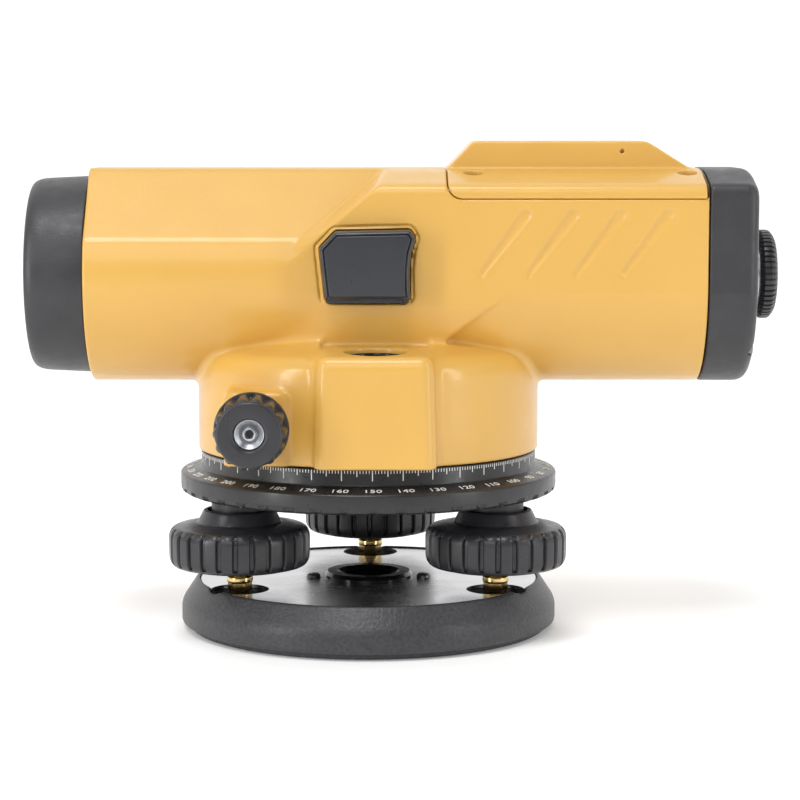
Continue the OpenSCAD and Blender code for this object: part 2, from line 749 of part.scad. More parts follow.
// ---------- objective ----------
module objective_hood() {
    color([0.16, 0.16, 0.17]) turned_x([[hood_in_r, tube_front_x + hood_lip],
        [bore_r - 2 * fit, tube_front_x + hood_lip], [bore_r - 2 * fit, hood_x1], [hood_r1, hood_x1],
        [hood_r0, hood_x0 + 2.6], [hood_r0 - 0.7, hood_x0 + 0.8], [hood_r0 - 2.2, hood_x0],
        [hood_in_r + 0.8, hood_x0], [hood_in_r + 0.6, cell_x[0] - 1], [hood_in_r, cell_x[0] - 0.5]]);
}
module objective_cell() {
    color([0.12, 0.12, 0.12]) turned_x([[lens_r + fit, cell_x[2]], [cell_r, cell_x[2]],
        [cell_r, cell_x[0]], [cell_lip_r, cell_x[0]], [cell_lip_r, cell_x[1]], [lens_r + fit, cell_x[1]]]);
}
module objective_front_lens() {
    color([0.6, 0.75, 0.8, 0.5]) lens(lens_r, -85.9, -2, -82.4, 1.4);
}
module objective_rear_lens() {
    color([0.6, 0.75, 0.8, 0.5]) lens(lens_r, -82.3, 1.4, -78.4, 0.6);
}

// ---------- circular level and its mirror ----------
module level_mirror_housing() {
    color([0.15, 0.15, 0.16]) difference() {
        along_y(mirror_case_y[0], mirror_case_y[1]) mirror_outline();
        block([mirror_x0, mirror_y, 95], [mirror_x0 + mirror_w, mirror_y + mirror_d, mirror_z]);
        translate([mirror_x0, mirror_y, mirror_z]) rotate([90, 0, 90]) linear_extrude(mirror_w)
            polygon([[0, -0.1], [mirror_d, -0.1], [mirror_d, mirror_d]]);
    }
}
module level_mirror() {
    color([0.85, 0.88, 0.9]) translate([mirror_x0 + 0.2, mirror_y, mirror_z]) rotate([90, 0, 90])
        linear_extrude(mirror_w - 0.4) polygon([[0.4, 0.1], [mirror_d - 0.2, mirror_d - 0.5],
            [mirror_d - 0.2, mirror_d - 0.5 - mirror_t], [1, -0.6]]);
}
module circular_level_case() {
    color([0.15, 0.15, 0.15]) translate([level_x, level_y, 0]) difference() {
        bar_z(level_r, level_low + 2 * fit, level_case_top);
        bar_z(level_bore_r, level_floor, level_top);
    }
}
module circular_level_glass() {
    color([0.7, 0.85, 0.5, 0.6]) translate([level_x, level_y, 0]) rotate_extrude()
        polygon(concat([[0, level_floor + 0.1], [level_bore_r - 0.1, level_floor + 0.1]],
            [for (i = [8:-1:0]) lens_face(level_bore_r - 0.1, level_glass_z[0], level_glass_z[1])[i]]));
}
module level_adjusting_screws() {
    color([0.6, 0.6, 0.62]) at_level_screws() bar_z(screw_r, level_screw_low, level_low + fit);
}

// ---------- horizontal fine drive ----------
module tangent_bushes() {
    color([0.7, 0.5, 0.28]) side_bars(tangent_bush_r, tangent_bush_y[0], tangent_bush_y[1], shaft_r + run,
        -tangent_x, tangent_z);
}
module tangent_shaft() {
    shaft_end = tangent_face_y - 4.6;
    color([0.7, 0.7, 0.72]) translate([-tangent_x, 0, tangent_z]) rotate([-90, 0, 0]) {
        rotate_extrude() polygon(concat([[0, -worm_half], [shaft_r - 0.2, -worm_half]],
            [for (i = [0:9]) for (q = [[worm_root_r, 0], [worm_tip_r, worm_thread[0]],
                [worm_tip_r, worm_thread[1]], [worm_root_r, worm_thread[2]]])
                [q[0], -worm_half + 0.2 + i * worm_pitch + q[1]]],
            [[shaft_r - 0.2, worm_half], [0, worm_half]]));
        difference() {
            bar_z(shaft_r, -shaft_end, shaft_end);
            bar_z(shaft_hole_r, tangent_face_y - shaft_hole_y, tangent_face_y);
            bar_z(shaft_hole_r, -tangent_face_y, -tangent_face_y + shaft_hole_y);
        }
    }
}
module tangent_knob() {
    color([0.2, 0.2, 0.21]) translate([-tangent_x, 0, tangent_z]) rotate([-90, 0, 0]) difference() {
        union() {
            translate([0, 0, tangent_face_y - knob_body]) linear_extrude(knob_body - 1)
                polygon(lobe_points(12, tangent_knob_r, lobe_depth));
            bar_z(tangent_knob_r - lobe_depth - 0.2, tangent_face_y - 1.1, tangent_face_y);
            bar_z(tangent_knob_r + 0.3, tangent_face_y - knob_flange_y, tangent_face_y - knob_body + 0.1);
        }
        bar_z(shaft_r + knob_bore_gap, 0, tangent_face_y + cut);
        translate([0, 0, tangent_face_y - knob_recess])
            cylinder(h = knob_recess + 0.1, r1 = shaft_r + 0.1, r2 = 4.4);
    }
}
module tangent_knob_right() { tangent_knob(); }
module tangent_knob_left() { mirror([0, 1, 0]) tangent_knob(); }

// ---------- focusing ----------
module focusing_bush() {
    color([0.7, 0.5, 0.28]) bar_y(focus_bush_r, focus_bush_y[0], focus_bush_y[1], shaft_r + run);
}
module focusing_knob() {
    color([0.2, 0.2, 0.21]) translate([0, 0, sight_h]) rotate([-90, 0, 0]) difference() {
        union() {
            rotate_extrude() polygon([[0, focus_y0], [focus_knob_r - 4, focus_y0],
                [focus_knob_r - 0.9, focus_y0 + 2], [focus_knob_r - 0.9, focus_y1 - 1.4],
                [focus_knob_r - 2.4, focus_y1 - 0.3], [focus_knob_r - 5, focus_y1], [0, focus_y1]]);
            translate([0, 0, focus_y0 + 2.4]) linear_extrude(focus_y1 - focus_y0 - 4.2)
                polygon(rib_points(foot_knob_ribs, focus_knob_r - rib_depth, focus_knob_r, rib_land));
        }
        bar_z(shaft_r + knob_bore_gap, 0, focus_y1 - 3);
    }
}
module focusing_shaft() {
    color([0.7, 0.7, 0.72]) translate([0, 0, sight_h]) rotate([-90, 0, 0]) {
        bar_z(shaft_r, rack_y1 + 0.4, focus_y1 - 3.2);
        translate([0, 0, rack_y0 - 0.4]) linear_extrude(rack_y1 - rack_y0 + 1)
            rotate([0, 0, 90])
            polygon(rib_points(pinion_teeth, pinion_r - pinion_root, pinion_r + tooth_h, 0.24, 0.12));
    }
}
module focusing_guide_rings() {
    color([0.25, 0.25, 0.26]) difference() {
        union() {
            bar_x(guide_r, guide_x[0], guide_x[1], guide_in_r);
            bar_x(guide_r, guide_x[2], guide_x[3], guide_in_r);
        }
        for (s = [-1, 1]) bar_x(rod_r + fit, guide_x[0] - cut, guide_x[3] + cut, 0, 0, s * rod_off);
        block([guide_x[2] - cut, rack_y0 - 2, sight_h - rack_low - 1],
            [guide_x[3] + cut, rack_y1 + 1, sight_h]);
    }
}
module focusing_guide_rods() {
    color([0.75, 0.75, 0.77]) for (s = [-1, 1])
        bar_x(rod_r, guide_x[0] + 0.1, guide_x[3] - 0.1, 0, 0, s * rod_off);
}
module focusing_carriage() {
    eye_x = [carriage_x[0] - 1, carriage_x[1] + 1];
    color([0.3, 0.3, 0.31]) {
        difference() {
            union() {
                bar_x(carriage_r[1], carriage_x[0], carriage_x[1]);
                for (s = [-1, 1]) bar_x(carriage_eye_r, eye_x[0], eye_x[1], 0, 0, s * rod_off);
            }
            bar_x(carriage_r[0], eye_x[0] - cut, eye_x[1] + cut);
            for (s = [-1, 1]) bar_x(rod_r + run, eye_x[0] - cut, eye_x[1] + cut, 0, 0, s * rod_off);
        }
        block([carriage_x[0], rack_y0, sight_h - rack_low], [rack_x1, rack_y1, sight_h - pinion_r - 0.7]);
        along_y(rack_y0, rack_y1) for (i = [-rack_half:rack_half])
            translate([(i + 0.5) * tooth_pitch, sight_h - pinion_r])
            polygon([[-tooth_half_w[0], -tooth_root], [tooth_half_w[0], -tooth_root],
                [tooth_half_w[1], tooth_h], [-tooth_half_w[1], tooth_h]]);
    }
}
module focusing_lens() {
    color([0.6, 0.75, 0.8, 0.5]) lens(focus_lens_r, -43.5, 1, -38.5, -1);
}

// ---------- compensator ----------
module compensator_frame() {
    color([0.62, 0.63, 0.65]) difference() {
        union() {
            block([comp_x - frame_half[0], -frame_half[1], frame_z[0]],
                [comp_x + frame_half[0], frame_half[1], frame_z[1]]);
            both_sides() block([comp_x - frame_wall_half, frame_half[1] - frame_wall, frame_z[1] - 0.1],
                [comp_x + frame_wall_half, frame_half[1], frame_z[2]]);
            for (s = [-1, 1]) block([comp_x + s * bridge_x - bridge_half, -frame_half[1] + 0.4, bridge_z],
                [comp_x + s * bridge_x + bridge_half, frame_half[1] - 0.4, frame_z[2]]);
        }
        side_bars(magnet_r + fit, frame_half[1] - frame_wall - cut, frame_half[1] + cut, 0, comp_x, magnet_z);
    }
}
module fixed_prisms() {
    color([0.65, 0.8, 0.82, 0.6]) for (s = [-1, 1]) along_y(-prism_half_w, prism_half_w)
        polygon([for (p = [[prism_x[2], prism_z[0]], [prism_x[2], prism_z[2]], [prism_x[1], prism_z[2]],
            [prism_x[0], prism_z[1]], [prism_x[0], prism_z[0]]]) [comp_x + s * p[0], p[1]]]);
}
module damping_magnets() {
    color([0.4, 0.4, 0.42]) side_bars(magnet_r, magnet_y[0], magnet_y[1], 0, comp_x, magnet_z);
}
module pendulum() {
    color([0.68, 0.52, 0.3]) {
        block([comp_x - pendulum_half[0], -pendulum_half[1], pendulum_z[0]],
            [comp_x + pendulum_half[0], pendulum_half[1], pendulum_z[1]]);
        both_sides() block([comp_x - pendulum_half[0], pendulum_half[1] - pendulum_wall, pendulum_z[1] - 0.1],
            [comp_x + pendulum_half[0], pendulum_half[1], pendulum_z[2]]);
        block([comp_x - vane_half[0], -vane_half[1], vane_low],
            [comp_x + vane_half[0], vane_half[1], pendulum_z[0] + 0.1]);
    }
}
module pendulum_prism() {
    half_w = pendulum_half[1] - pendulum_wall - 0.1;
    color([0.65, 0.8, 0.82, 0.6]) along_y(-half_w, half_w) polygon([
        [comp_x - swing_half[0], pendulum_z[1] + fit], [comp_x + swing_half[0], pendulum_z[1] + fit],
        [comp_x + swing_half[1], pendulum_z[2]], [comp_x - swing_half[1], pendulum_z[2]]]);
}
module suspension_wires() {
    color([0.8, 0.8, 0.8]) for (a = [-1, 1]) for (b = [-1, 1])
        translate([comp_x + a * wire_at[0], b * wire_at[1], pendulum_z[2] + fit])
            rotate([0, a * wire_lean, 0]) cylinder(h = wire_len, r = wire_r);
}

// ---------- eyepiece ----------
module at_reticle_screws() {
    translate([reticle_x, 0, sight_h]) for (a = [0:90:270]) rotate([a, 0, 0]) children();
}
module reticle_ring() {
    color([0.5, 0.4, 0.25])
        bar_x(reticle_r[2], reticle_x - reticle_t[1], reticle_x + reticle_t[1], reticle_r[1]);
}
module reticle_glass() {
    color([0.75, 0.85, 0.88, 0.4]) bar_x(reticle_r[0], reticle_x - reticle_t[0], reticle_x + reticle_t[0]);
}
module reticle_screws() {
    color([0.6, 0.6, 0.62]) at_reticle_screws()
        bar_z(reticle_screw_r, reticle_screw_at[0], reticle_screw_at[1]);
}
module eyepiece_tube() {
    flange_x1 = rear_x1 - rear_wall - 2 * fit;
    neck_x = eye_tube_x1 - 0.4;
    color([0.74, 0.75, 0.77]) difference() {
        turned_x([[eye_in_r, eye_x0], [eye_tube_r, eye_x0], [eye_tube_r, eye_flange_x],
            [eye_flange_r, eye_flange_x], [eye_flange_r, flange_x1], [eye_tube_r, flange_x1],
            [eye_tube_r, neck_x], [spigot_r, neck_x], [spigot_r, spigot_x1], [eye_bore_r, spigot_x1],
            [eye_bore_r, eye_step_x], [eye_in_r, eye_step_x]]);
        at_reticle_screws() bar_z(reticle_screw_r + fit, reticle_r[0], reticle_screw_at[1] + cut);
    }
}
module field_lens() {
    color([0.6, 0.75, 0.8, 0.5]) lens(eye_in_r - fit, 95, -0.8, 97.2, 0);
}
module diopter_ring() {
    color([0.16, 0.16, 0.17]) difference() {
        union() {
            turned_x([[0, eye_tube_x1], [diopter_r - 1, eye_tube_x1], [diopter_r - 0.7, eye_tube_x1 + 0.8],
                [diopter_r - 0.8, eye_tube_x1 + 3.4], [diopter_r - 2.6, diopter_x1], [0, diopter_x1]]);
            translate([eye_tube_x1 + 0.6, 0, sight_h]) rotate([0, 90, 0]) linear_extrude(diopter_rib_w)
                polygon(rib_points(diopter_ribs, diopter_r - diopter_rib_depth, diopter_r, 0.45));
        }
        bar_x(spigot_r + 0.06, eye_tube_x1 - cut, spigot_x1 + 0.2);
        bar_x(diopter_hole_r, eye_tube_x1 - cut, diopter_x1 + cut);
    }
}
module eye_lens_cell() {
    color([0.12, 0.12, 0.12]) bar_x(eye_bore_r - run, eye_cell_x[0], eye_cell_x[1], eye_cell_in_r);
}
module eye_lens() {
    color([0.6, 0.75, 0.8, 0.5]) lens(eye_lens_r, 109.6, -0.8, 112, 0.7);
}

base_plate();
tripod_bushing();
spring_plate();
spring_plate_screws();
ball_retainers();
foot_screw_front_left();
foot_screw_front_right();
foot_screw_rear();
foot_knob_front_left();
foot_knob_front_right();
foot_knob_rear();
leveling_head();
foot_screw_bushes();
spindle();
spindle_screws();
spindle_retainer();
horizontal_circle();
worm_wheel();
clutch_spring();
main_housing();
axis_bush();
top_cover();
top_cover_screws();
rear_cover();
rear_cover_screws();
objective_hood();
objective_cell();
objective_front_lens();
objective_rear_lens();
level_mirror_housing();
level_mirror();
circular_level_case();
circular_level_glass();
level_adjusting_screws();
tangent_bushes();
tangent_shaft();
tangent_knob_left();
tangent_knob_right();
focusing_bush();
focusing_knob();
focusing_shaft();
focusing_guide_rings();
focusing_guide_rods();
focusing_carriage();
focusing_lens();
compensator_frame();
fixed_prisms();
damping_magnets();
pendulum();
pendulum_prism();
suspension_wires();
reticle_ring();
reticle_glass();
reticle_screws();
eyepiece_tube();
field_lens();
diopter_ring();
eye_lens_cell();
eye_lens();
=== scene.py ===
"""Looks of the automatic level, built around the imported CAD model.

Blender's units are metres. Shapes are worked out in millimetres in the frame's own axes: the origin is the
centre of the tripod thread, +X runs from the objective to the eyepiece and +Z is up. The cast pieces are
distance fields that are blended and then meshed, and the round pieces are turned profiles.
"""

import functools
import json
import math

import bmesh
import bpy
import numpy as np
import openvdb
from mathutils import Matrix, Vector

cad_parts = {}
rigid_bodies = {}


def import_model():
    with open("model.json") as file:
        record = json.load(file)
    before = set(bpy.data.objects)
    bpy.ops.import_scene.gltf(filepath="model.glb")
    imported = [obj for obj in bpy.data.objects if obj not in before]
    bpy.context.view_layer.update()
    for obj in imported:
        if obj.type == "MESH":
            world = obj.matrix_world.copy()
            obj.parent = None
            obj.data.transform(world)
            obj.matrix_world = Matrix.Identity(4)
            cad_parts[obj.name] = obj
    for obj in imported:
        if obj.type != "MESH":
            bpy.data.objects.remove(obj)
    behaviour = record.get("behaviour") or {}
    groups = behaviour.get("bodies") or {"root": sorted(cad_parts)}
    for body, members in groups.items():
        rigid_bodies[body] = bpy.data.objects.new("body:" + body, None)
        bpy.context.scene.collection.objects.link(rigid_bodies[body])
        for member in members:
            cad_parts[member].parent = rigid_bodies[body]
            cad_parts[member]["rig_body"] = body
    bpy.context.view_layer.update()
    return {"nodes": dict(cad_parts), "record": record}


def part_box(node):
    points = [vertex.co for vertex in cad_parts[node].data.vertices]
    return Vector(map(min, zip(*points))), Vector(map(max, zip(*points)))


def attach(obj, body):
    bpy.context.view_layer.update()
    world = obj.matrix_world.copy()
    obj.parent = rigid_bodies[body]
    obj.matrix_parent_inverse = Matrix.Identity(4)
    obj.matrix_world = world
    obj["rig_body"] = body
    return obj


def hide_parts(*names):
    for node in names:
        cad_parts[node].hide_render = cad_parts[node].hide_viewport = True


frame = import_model()

MM = 0.001
FINE = 0.45      # pitch of the finest distance fields
ROOM_LIGHT = 0.12       # brightness of the surroundings on the viewer's side
BACKDROP_LIGHT = 1.15   # and behind the object


def low(node, axis):
    """Lowest coordinate of a CAD node along an axis, in millimetres."""
    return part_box(node)[0][axis] / MM


def high(node, axis):
    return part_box(node)[1][axis] / MM


def middle(node, axis):
    return (low(node, axis) + high(node, axis)) / 2


# ---------- sizes, from the frame or in its millimetres ----------
SIGHT = middle("objective_front_lens", 2)
BODY_X0 = low("main_housing", 0)
BODY_X1 = high("main_housing", 0)
PEDESTAL_Z = low("main_housing", 2)
TUBE_R = 30.7
FRONT = 30.49           # half width of the flat sides, which meet the round underside in a faint crease
TOP_RISE = 30.7         # height of the flat top above the sight line
BORE_R = 26.5
FACET = (28.7, 10.9)    # where the nose's side flats start, as half width and height above the sight line
FLAT_HALF = 11          # half width of the flat along the nose's top
ROOF = (30.4, 26.2, 14)         # half width and height of the eaves, and half width of the ridge
WAIST = 3               # depth below the sight line at which the squared body runs out
STEP_X = (-18.6, 5)     # where the squared body starts, at the height of the facet and at the top
STEP_BEVEL = 2.3
STEP_RAMP = (0.13, 1.5)         # how the side widens ahead of the step, per length, and its head start
BLEND_X = 16            # length over which the nose's bulging side becomes flat
PEDESTAL_R = 49.2
DRAFT = 0.025           # lean of the boss's walls, per height
SHOULDER = (47, 81.8, 0.24)     # a radius, the shoulder's height there and its slope
BOSS_X = (-14.3, 19.2)
BOSS_FRONT = 53
BOSS_CORNER = 3.4
LEVEL = (2.4, -40)
LEVEL_TOP = 83.4
LEVEL_WELL = (8.5, 74)          # radius and floor of the circular level's well
POCKET_Z = 73.6         # ceiling of the hollow in the pedestal
TANGENT = (middle("tangent_shaft", 0), middle("tangent_shaft", 2))
TANGENT_FACE = high("tangent_knob_right", 1)
TANGENT_BOSS_R = 8.5
TANGENT_BOSS_Y = 49.5
PAD = (-30, 9, 73, 45.5)        # middle, half length, top and face of the pads round the tangent shaft
COVER_X = (low("top_cover", 0), high("top_cover", 0))
COVER_Z = 125.1
COVER_CORNER = 4.2
HATCH = (60, 26, 18)    # middle, half length and half width of the compensator's opening
RIB_TOP = high("top_cover", 2)
RIB_HALF = 13
RIB_X = (COVER_X[0] + 0.2, 30, 79, 91.2)        # where the rib starts to rise, is up, falls and ends
RIB_POCKET = (56, 22, 10.5, 2.5)        # middle, half length, half width and roof of the hollow in the rib
PEEP = (72, 138, 0.6)   # the small hole in the rib's side, with its radius
COVER_SCREWS = [(x, side * 17.5) for x in (29.9, 89.9) for side in (-1, 1)]
COVER_SEAT = (2.75, 129.8)      # radius and floor of the screws' counterbores
REAR_X = (low("rear_cover", 0), high("rear_cover", 0))
REAR_SCREW = 19.5       # distance of the rear screws from the sight line, sideways and in height
REAR_WALL = 2.5
EYE_BORE_R = 11.15
MIRROR_FRONT = low("level_mirror_housing", 1)
MIRROR_BACK = -28.75
MIRROR_SLOT = 98.5      # height of the lip under the mirror's face
MIRROR_CORE = [(-11.95, 111.35), (-8.15, 115.3), (11.55, 115.7), (12.4, 114.2), (11.3, 110.6),
               (10.8, 105.6), (10.9, 100.2), (11.1, 98.4), (10.3, 97.2), (-10.1, 97.2), (-10.5, 98)]
MIRROR_CORNER = 1.1
SKIRT = ((21, 84.7), (39.4, 99.6))      # the slanting end of the flat skirt under the telescope
GROOVE = ((32, 104.4), (43.9, 120.3))   # the first groove's lower and upper end
GROOVE_HALF = (0.95, 1.75)              # and its half width there
GROOVE_DEPTH = 0.85
GROOVE_PITCH = 13.1
GROOVES = 4
FEET = {name: (middle("foot_screw_" + name, 0), middle("foot_screw_" + name, 1))
        for name in ("front_left", "front_right", "rear")}
FOCUS_FACE = high("focusing_knob", 1)
DIAL_TOP = high("horizontal_circle", 2)
DIAL_BAND_R = 48.5
DIAL_R = high("horizontal_circle", 0)
DIAL_RIM_Z = 46.1       # where the sloping rim with the numbers starts
DIAL_RISE = 1.4         # and how far it climbs to the upright band
BASE_R = (high("base_plate", 0), 50, 52)        # widest, at the top edge and at the foot
BASE_Z = (1.9, 7.8, high("base_plate", 2) + 0.8)        # the foot's groove, the crease and the top edge
PLATE_BED = (49.2, 12.9)        # radius and floor of the bed for the spring plate
THREAD_SEAT_R = 12.05
KNOB_RIBS = 26


# ---------- distance fields, in millimetres ----------
def soft_min(a, b, k):
    """Union of two fields with a fillet of about k."""
    h = np.clip(0.5 + 0.5 * (b - a) / k, 0, 1)
    return b + (a - b) * h - k * h * (1 - h)


def soft_max(a, b, k):
    """Intersection of two fields with a rounded edge of about k."""
    return -soft_min(-a, -b, k)


def meet(*fields):
    """Sharp intersection of several fields."""
    return functools.reduce(np.maximum, fields)


def ease(t):
    """A smooth step from 0 to 1."""
    t = np.clip(t, 0, 1)
    return t * t * (3 - 2 * t)


def polygon_field(px, py, points):
    """Signed distance to a polygon, negative inside."""
    best = np.full(np.broadcast(px, py).shape, 1e9, np.float32)
    inside = np.zeros(best.shape, bool)
    for (x0, y0), (x1, y1) in zip(points, points[1:] + points[:1]):
        ex, ey = x1 - x0, y1 - y0
        t = np.clip(((px - x0) * ex + (py - y0) * ey) / (ex * ex + ey * ey), 0, 1)
        best = np.minimum(best, np.hypot(px - x0 - t * ex, py - y0 - t * ey))
        if ey:
            crosses = (y0 > py) != (y1 > py)
            inside ^= crosses & (px < ex * (py - y0) / ey + x0)
    return np.where(inside, -best, best)


def line_field(px, py, a, b):
    """Distance from the line through a and b, positive on its left."""
    ex, ey = b[0] - a[0], b[1] - a[1]
    return ((py - a[1]) * ex - (px - a[0]) * ey) / math.hypot(ex, ey)


def corner_field(qx, qy, r):
    """A corner of radius r between two faces, given the distances past each face."""
    qx, qy = qx + r, qy + r
    return np.hypot(np.maximum(qx, 0), np.maximum(qy, 0)) + np.minimum(np.maximum(qx, qy), 0) - r


def nose_section(side, w):
    """The tube in front of the squared body: round below, with flats along both sides of its top."""
    upper = np.maximum(FACET[1] - w, side - FACET[0])
    core = np.minimum(np.hypot(side, w) - TUBE_R, upper)
    flats = line_field(side, w, (FLAT_HALF, TOP_RISE), FACET)
    return soft_max(soft_max(core, flats, 0.6), w - TOP_RISE, 1.2)


def block_section(side, w):
    """The squared body's upper half with its shallow roof slopes."""
    roof = line_field(side, w, (ROOF[2], TOP_RISE), ROOF[:2])
    section = soft_max(soft_max(side - FRONT, roof, 2.6), w - TOP_RISE, 1.6)
    return soft_max(section, -WAIST - w, 3)


def rear_section(side, w):
    """The squared body with its round underside."""
    return meet(np.minimum(block_section(side, w), np.hypot(side, w) - TUBE_R), side - FRONT)


def mirror_outline(x, z):
    """Distance to the front outline of the level mirror's housing."""
    return polygon_field(x, z, MIRROR_CORE) - MIRROR_CORNER


def step_field(x, side, w):
    """The slanting bevel at which the squared body starts, and the slow widening of the sides below it."""
    lean = (FACET[0] - FLAT_HALF) / (TOP_RISE - FACET[1])
    flat_side = np.clip((TOP_RISE - w) * lean + FLAT_HALF, 0, FACET[0])
    t = np.clip((side - flat_side) / np.maximum(FRONT - flat_side, 1.7), 0, 1)
    slant = line_field(x, w, (STEP_X[0], FACET[1]), (STEP_X[1], TOP_RISE))
    ramp = side - FRONT + STEP_RAMP[0] * (STEP_X[0] + STEP_RAMP[1] - x)
    return soft_max(slant + STEP_BEVEL * t, ramp, 1.5)


def pedestal_field(x, y, z):
    """The round pedestal, its sloping shoulder and the front boss with the ledge of the circular level."""
    r = np.hypot(x, y)
    shoulder = (z - SHOULDER[1] - SHOULDER[2] * (SHOULDER[0] - r)) / math.hypot(1, SHOULDER[2])
    body = soft_max(r - PEDESTAL_R, shoulder, 5)
    draft = DRAFT * (z - PEDESTAL_Z)
    centre, half = sum(BOSS_X) / 2, (BOSS_X[1] - BOSS_X[0]) / 2
    column = corner_field(np.abs(x - centre) - half + draft, -BOSS_FRONT - y + draft, BOSS_CORNER)
    ledge = z - LEVEL_TOP
    body = soft_max(body, -meet(column + 0.6, -ledge), 1.2)
    boss = meet(soft_max(column, ledge, 4), y + 18)
    return soft_min(body, boss, 2.6)


def pad_field(x, side, z):
    """The flat pads and bosses that carry the tangent shaft, on both sides."""
    middle_x, half, top, face = PAD
    pad = corner_field(np.abs(x - middle_x) - half, z - top, 3)
    pad = soft_max(pad, side - face, 1.6)
    boss = soft_max(np.hypot(x - TANGENT[0], z - TANGENT[1]) - TANGENT_BOSS_R, side - TANGENT_BOSS_Y, 0.8)
    return meet(soft_min(pad, boss, 1.2), 25 - side)


def hollow_field(x, y, z):
    """The hollow of the pedestal around its columns."""
    hollow = meet(np.hypot(x, y) - 46, z - POCKET_Z)
    for column in (meet(np.hypot(x - LEVEL[0], y - LEVEL[1]) - 11.5, 62 - z),
                   meet(np.hypot(x, y) - 13.5, 67.5 - z),
                   meet(np.hypot(x - TANGENT[0], z - TANGENT[1]) - TANGENT_BOSS_R, 32 - np.abs(y))):
        hollow = soft_max(hollow, -column, 1)
    return hollow


def groove_field(x, side, z):
    """Slanting flat-bottomed grooves that widen towards the top, on both sides."""
    (x0, z0), (x1, z1) = GROOVE
    ex, ez = x1 - x0, z1 - z0
    found = np.full(np.broadcast(x, side, z).shape, 1e3, np.float32)
    for i in range(GROOVES):
        px, pz = x - x0 - GROOVE_PITCH * i, z - z0
        t = np.clip((px * ex + pz * ez) / (ex * ex + ez * ez), 0, 1)
        wide = GROOVE_HALF[0] + (GROOVE_HALF[1] - GROOVE_HALF[0]) * t
        wall = (np.hypot(px - t * ex, pz - t * ez) + FRONT - side - wide) * math.sqrt(0.5)
        found = np.minimum(found, wall)
    return soft_max(found, FRONT - GROOVE_DEPTH - side, 0.5)


def housing_field(x, y, z):
    """The yellow casting of the telescope and its pedestal."""
    w, side = z - SIGHT, np.abs(y)
    nose = nose_section(side, w)
    block = soft_max(block_section(side, w), step_field(x, side, w), 0.9)
    body = soft_min(nose, block, 1)
    flank = side - FRONT + 0.011 * np.maximum(-WAIST - w, 0) ** 2
    skirt = soft_max(flank, side - FRONT + 0.3 * (-8 - x), 2)
    skirt = soft_max(skirt, line_field(x, z, *SKIRT) * -1, 0.9)
    skirt = meet(skirt, w, 80 - z, -30 - x)
    body = soft_min(body, skirt, 1.6)
    bulge = (TUBE_R - FRONT) * ease((STEP_X[0] - x) / BLEND_X)
    body = meet(body, w - TOP_RISE, side - FRONT - bulge)
    foot = soft_min(pedestal_field(x, y, z), pad_field(x, side, z), 1.4)
    body = soft_min(body, foot, 2)
    focus_boss = meet(np.hypot(x, w) - 9, 26 - y, y - 32.4)
    body = soft_min(body, focus_boss, 1)
    body = soft_max(body, x - BODY_X1, 0.7)
    body = soft_max(body, BODY_X0 - x, 0.7)
    body = soft_max(body, PEDESTAL_Z - z, 0.7)
    return carve_housing(body, x, y, z)


def carve_housing(body, x, y, z):
    """Cuts every bore, seat, pocket and groove of the casting."""
    w, side = z - SIGHT, np.abs(y)
    seat = corner_field(COVER_X[0] - 0.2 - x, COVER_Z - 0.1 - z, COVER_CORNER)
    level_well = meet(np.hypot(x - LEVEL[0], y - LEVEL[1]) - LEVEL_WELL[0], LEVEL_WELL[1] - z)
    mirror_seat = meet(mirror_outline(x, z) - 0.1, y - MIRROR_BACK - 0.15)
    mirror_line = meet(np.abs(mirror_outline(x + 0.25, z) - 0.95) - 0.3, y + FRONT - 0.7, 96.6 - z)
    hatch = meet(np.abs(x - HATCH[0]) - HATCH[1], side - HATCH[2], -w)
    shaft_bore = meet(np.hypot(x - TANGENT[0], z - TANGENT[1]) - 5.1, 30 - side)
    cuts = [
        (meet(seat, x - BODY_X1 + 0.4), 0.6),
        (level_well, 0.9),
        (mirror_seat, 0.3),
        (mirror_line, 0.35),
        (groove_field(x, side, z), 0.7),
        (np.hypot(side, w) - BORE_R, 0.4),
        (hatch, 0.4),
        (hollow_field(x, y, z), 0.4),
        (meet(np.hypot(x, y) - 9.3, z - 78), 0.3),
        (meet(np.hypot(x, y) - 10.1, z - 73), 0.3),
        (shaft_bore, 0.3),
        (meet(np.hypot(x, w) - 5.6, 20 - y), 0.3),
        (meet(np.hypot(x, w) - 18.7, 32.5 - y), 0.6),
    ]
    for cut, edge in cuts:
        body = soft_max(body, -cut, edge)
    return body


def cover_field(x, y, z):
    """The lid of the compensator with its sighting rib."""
    w, side = z - SIGHT, np.abs(y)
    lid = corner_field(COVER_X[0] - x, COVER_Z - z, COVER_CORNER)
    lid = soft_max(block_section(side, w), meet(lid, x - COVER_X[1]), 0.7)
    roof = SIGHT + TOP_RISE
    rib = soft_max(side - RIB_HALF, z - RIB_TOP, 0.8)
    rib = soft_max(rib, line_field(x, z, (RIB_X[1], RIB_TOP), (RIB_X[0], roof)) * -1, 0.8)
    rib = soft_max(rib, line_field(x, z, (RIB_X[3], roof), (RIB_X[2], RIB_TOP)) * -1, 0.8)
    lid = soft_min(lid, meet(rib, roof - 3 - z), 0.9)
    lid = soft_max(lid, -meet(np.abs(x - HATCH[0]) - HATCH[1], side - HATCH[2], z - 129.5), 0.4)
    pocket_x, half_x, half_y, skin = RIB_POCKET
    lid = soft_max(lid, -meet(np.abs(x - pocket_x) - half_x, side - half_y, z - RIB_TOP + skin), 0.4)
    for sx, sy in COVER_SCREWS:
        lid = soft_max(lid, -meet(np.hypot(x - sx, y - sy) - COVER_SEAT[0], COVER_SEAT[1] - z), 0.5)
    return soft_max(lid, -meet(np.hypot(x - PEEP[0], z - PEEP[1]) - PEEP[2], y + RIB_HALF - 1.5), 0.3)


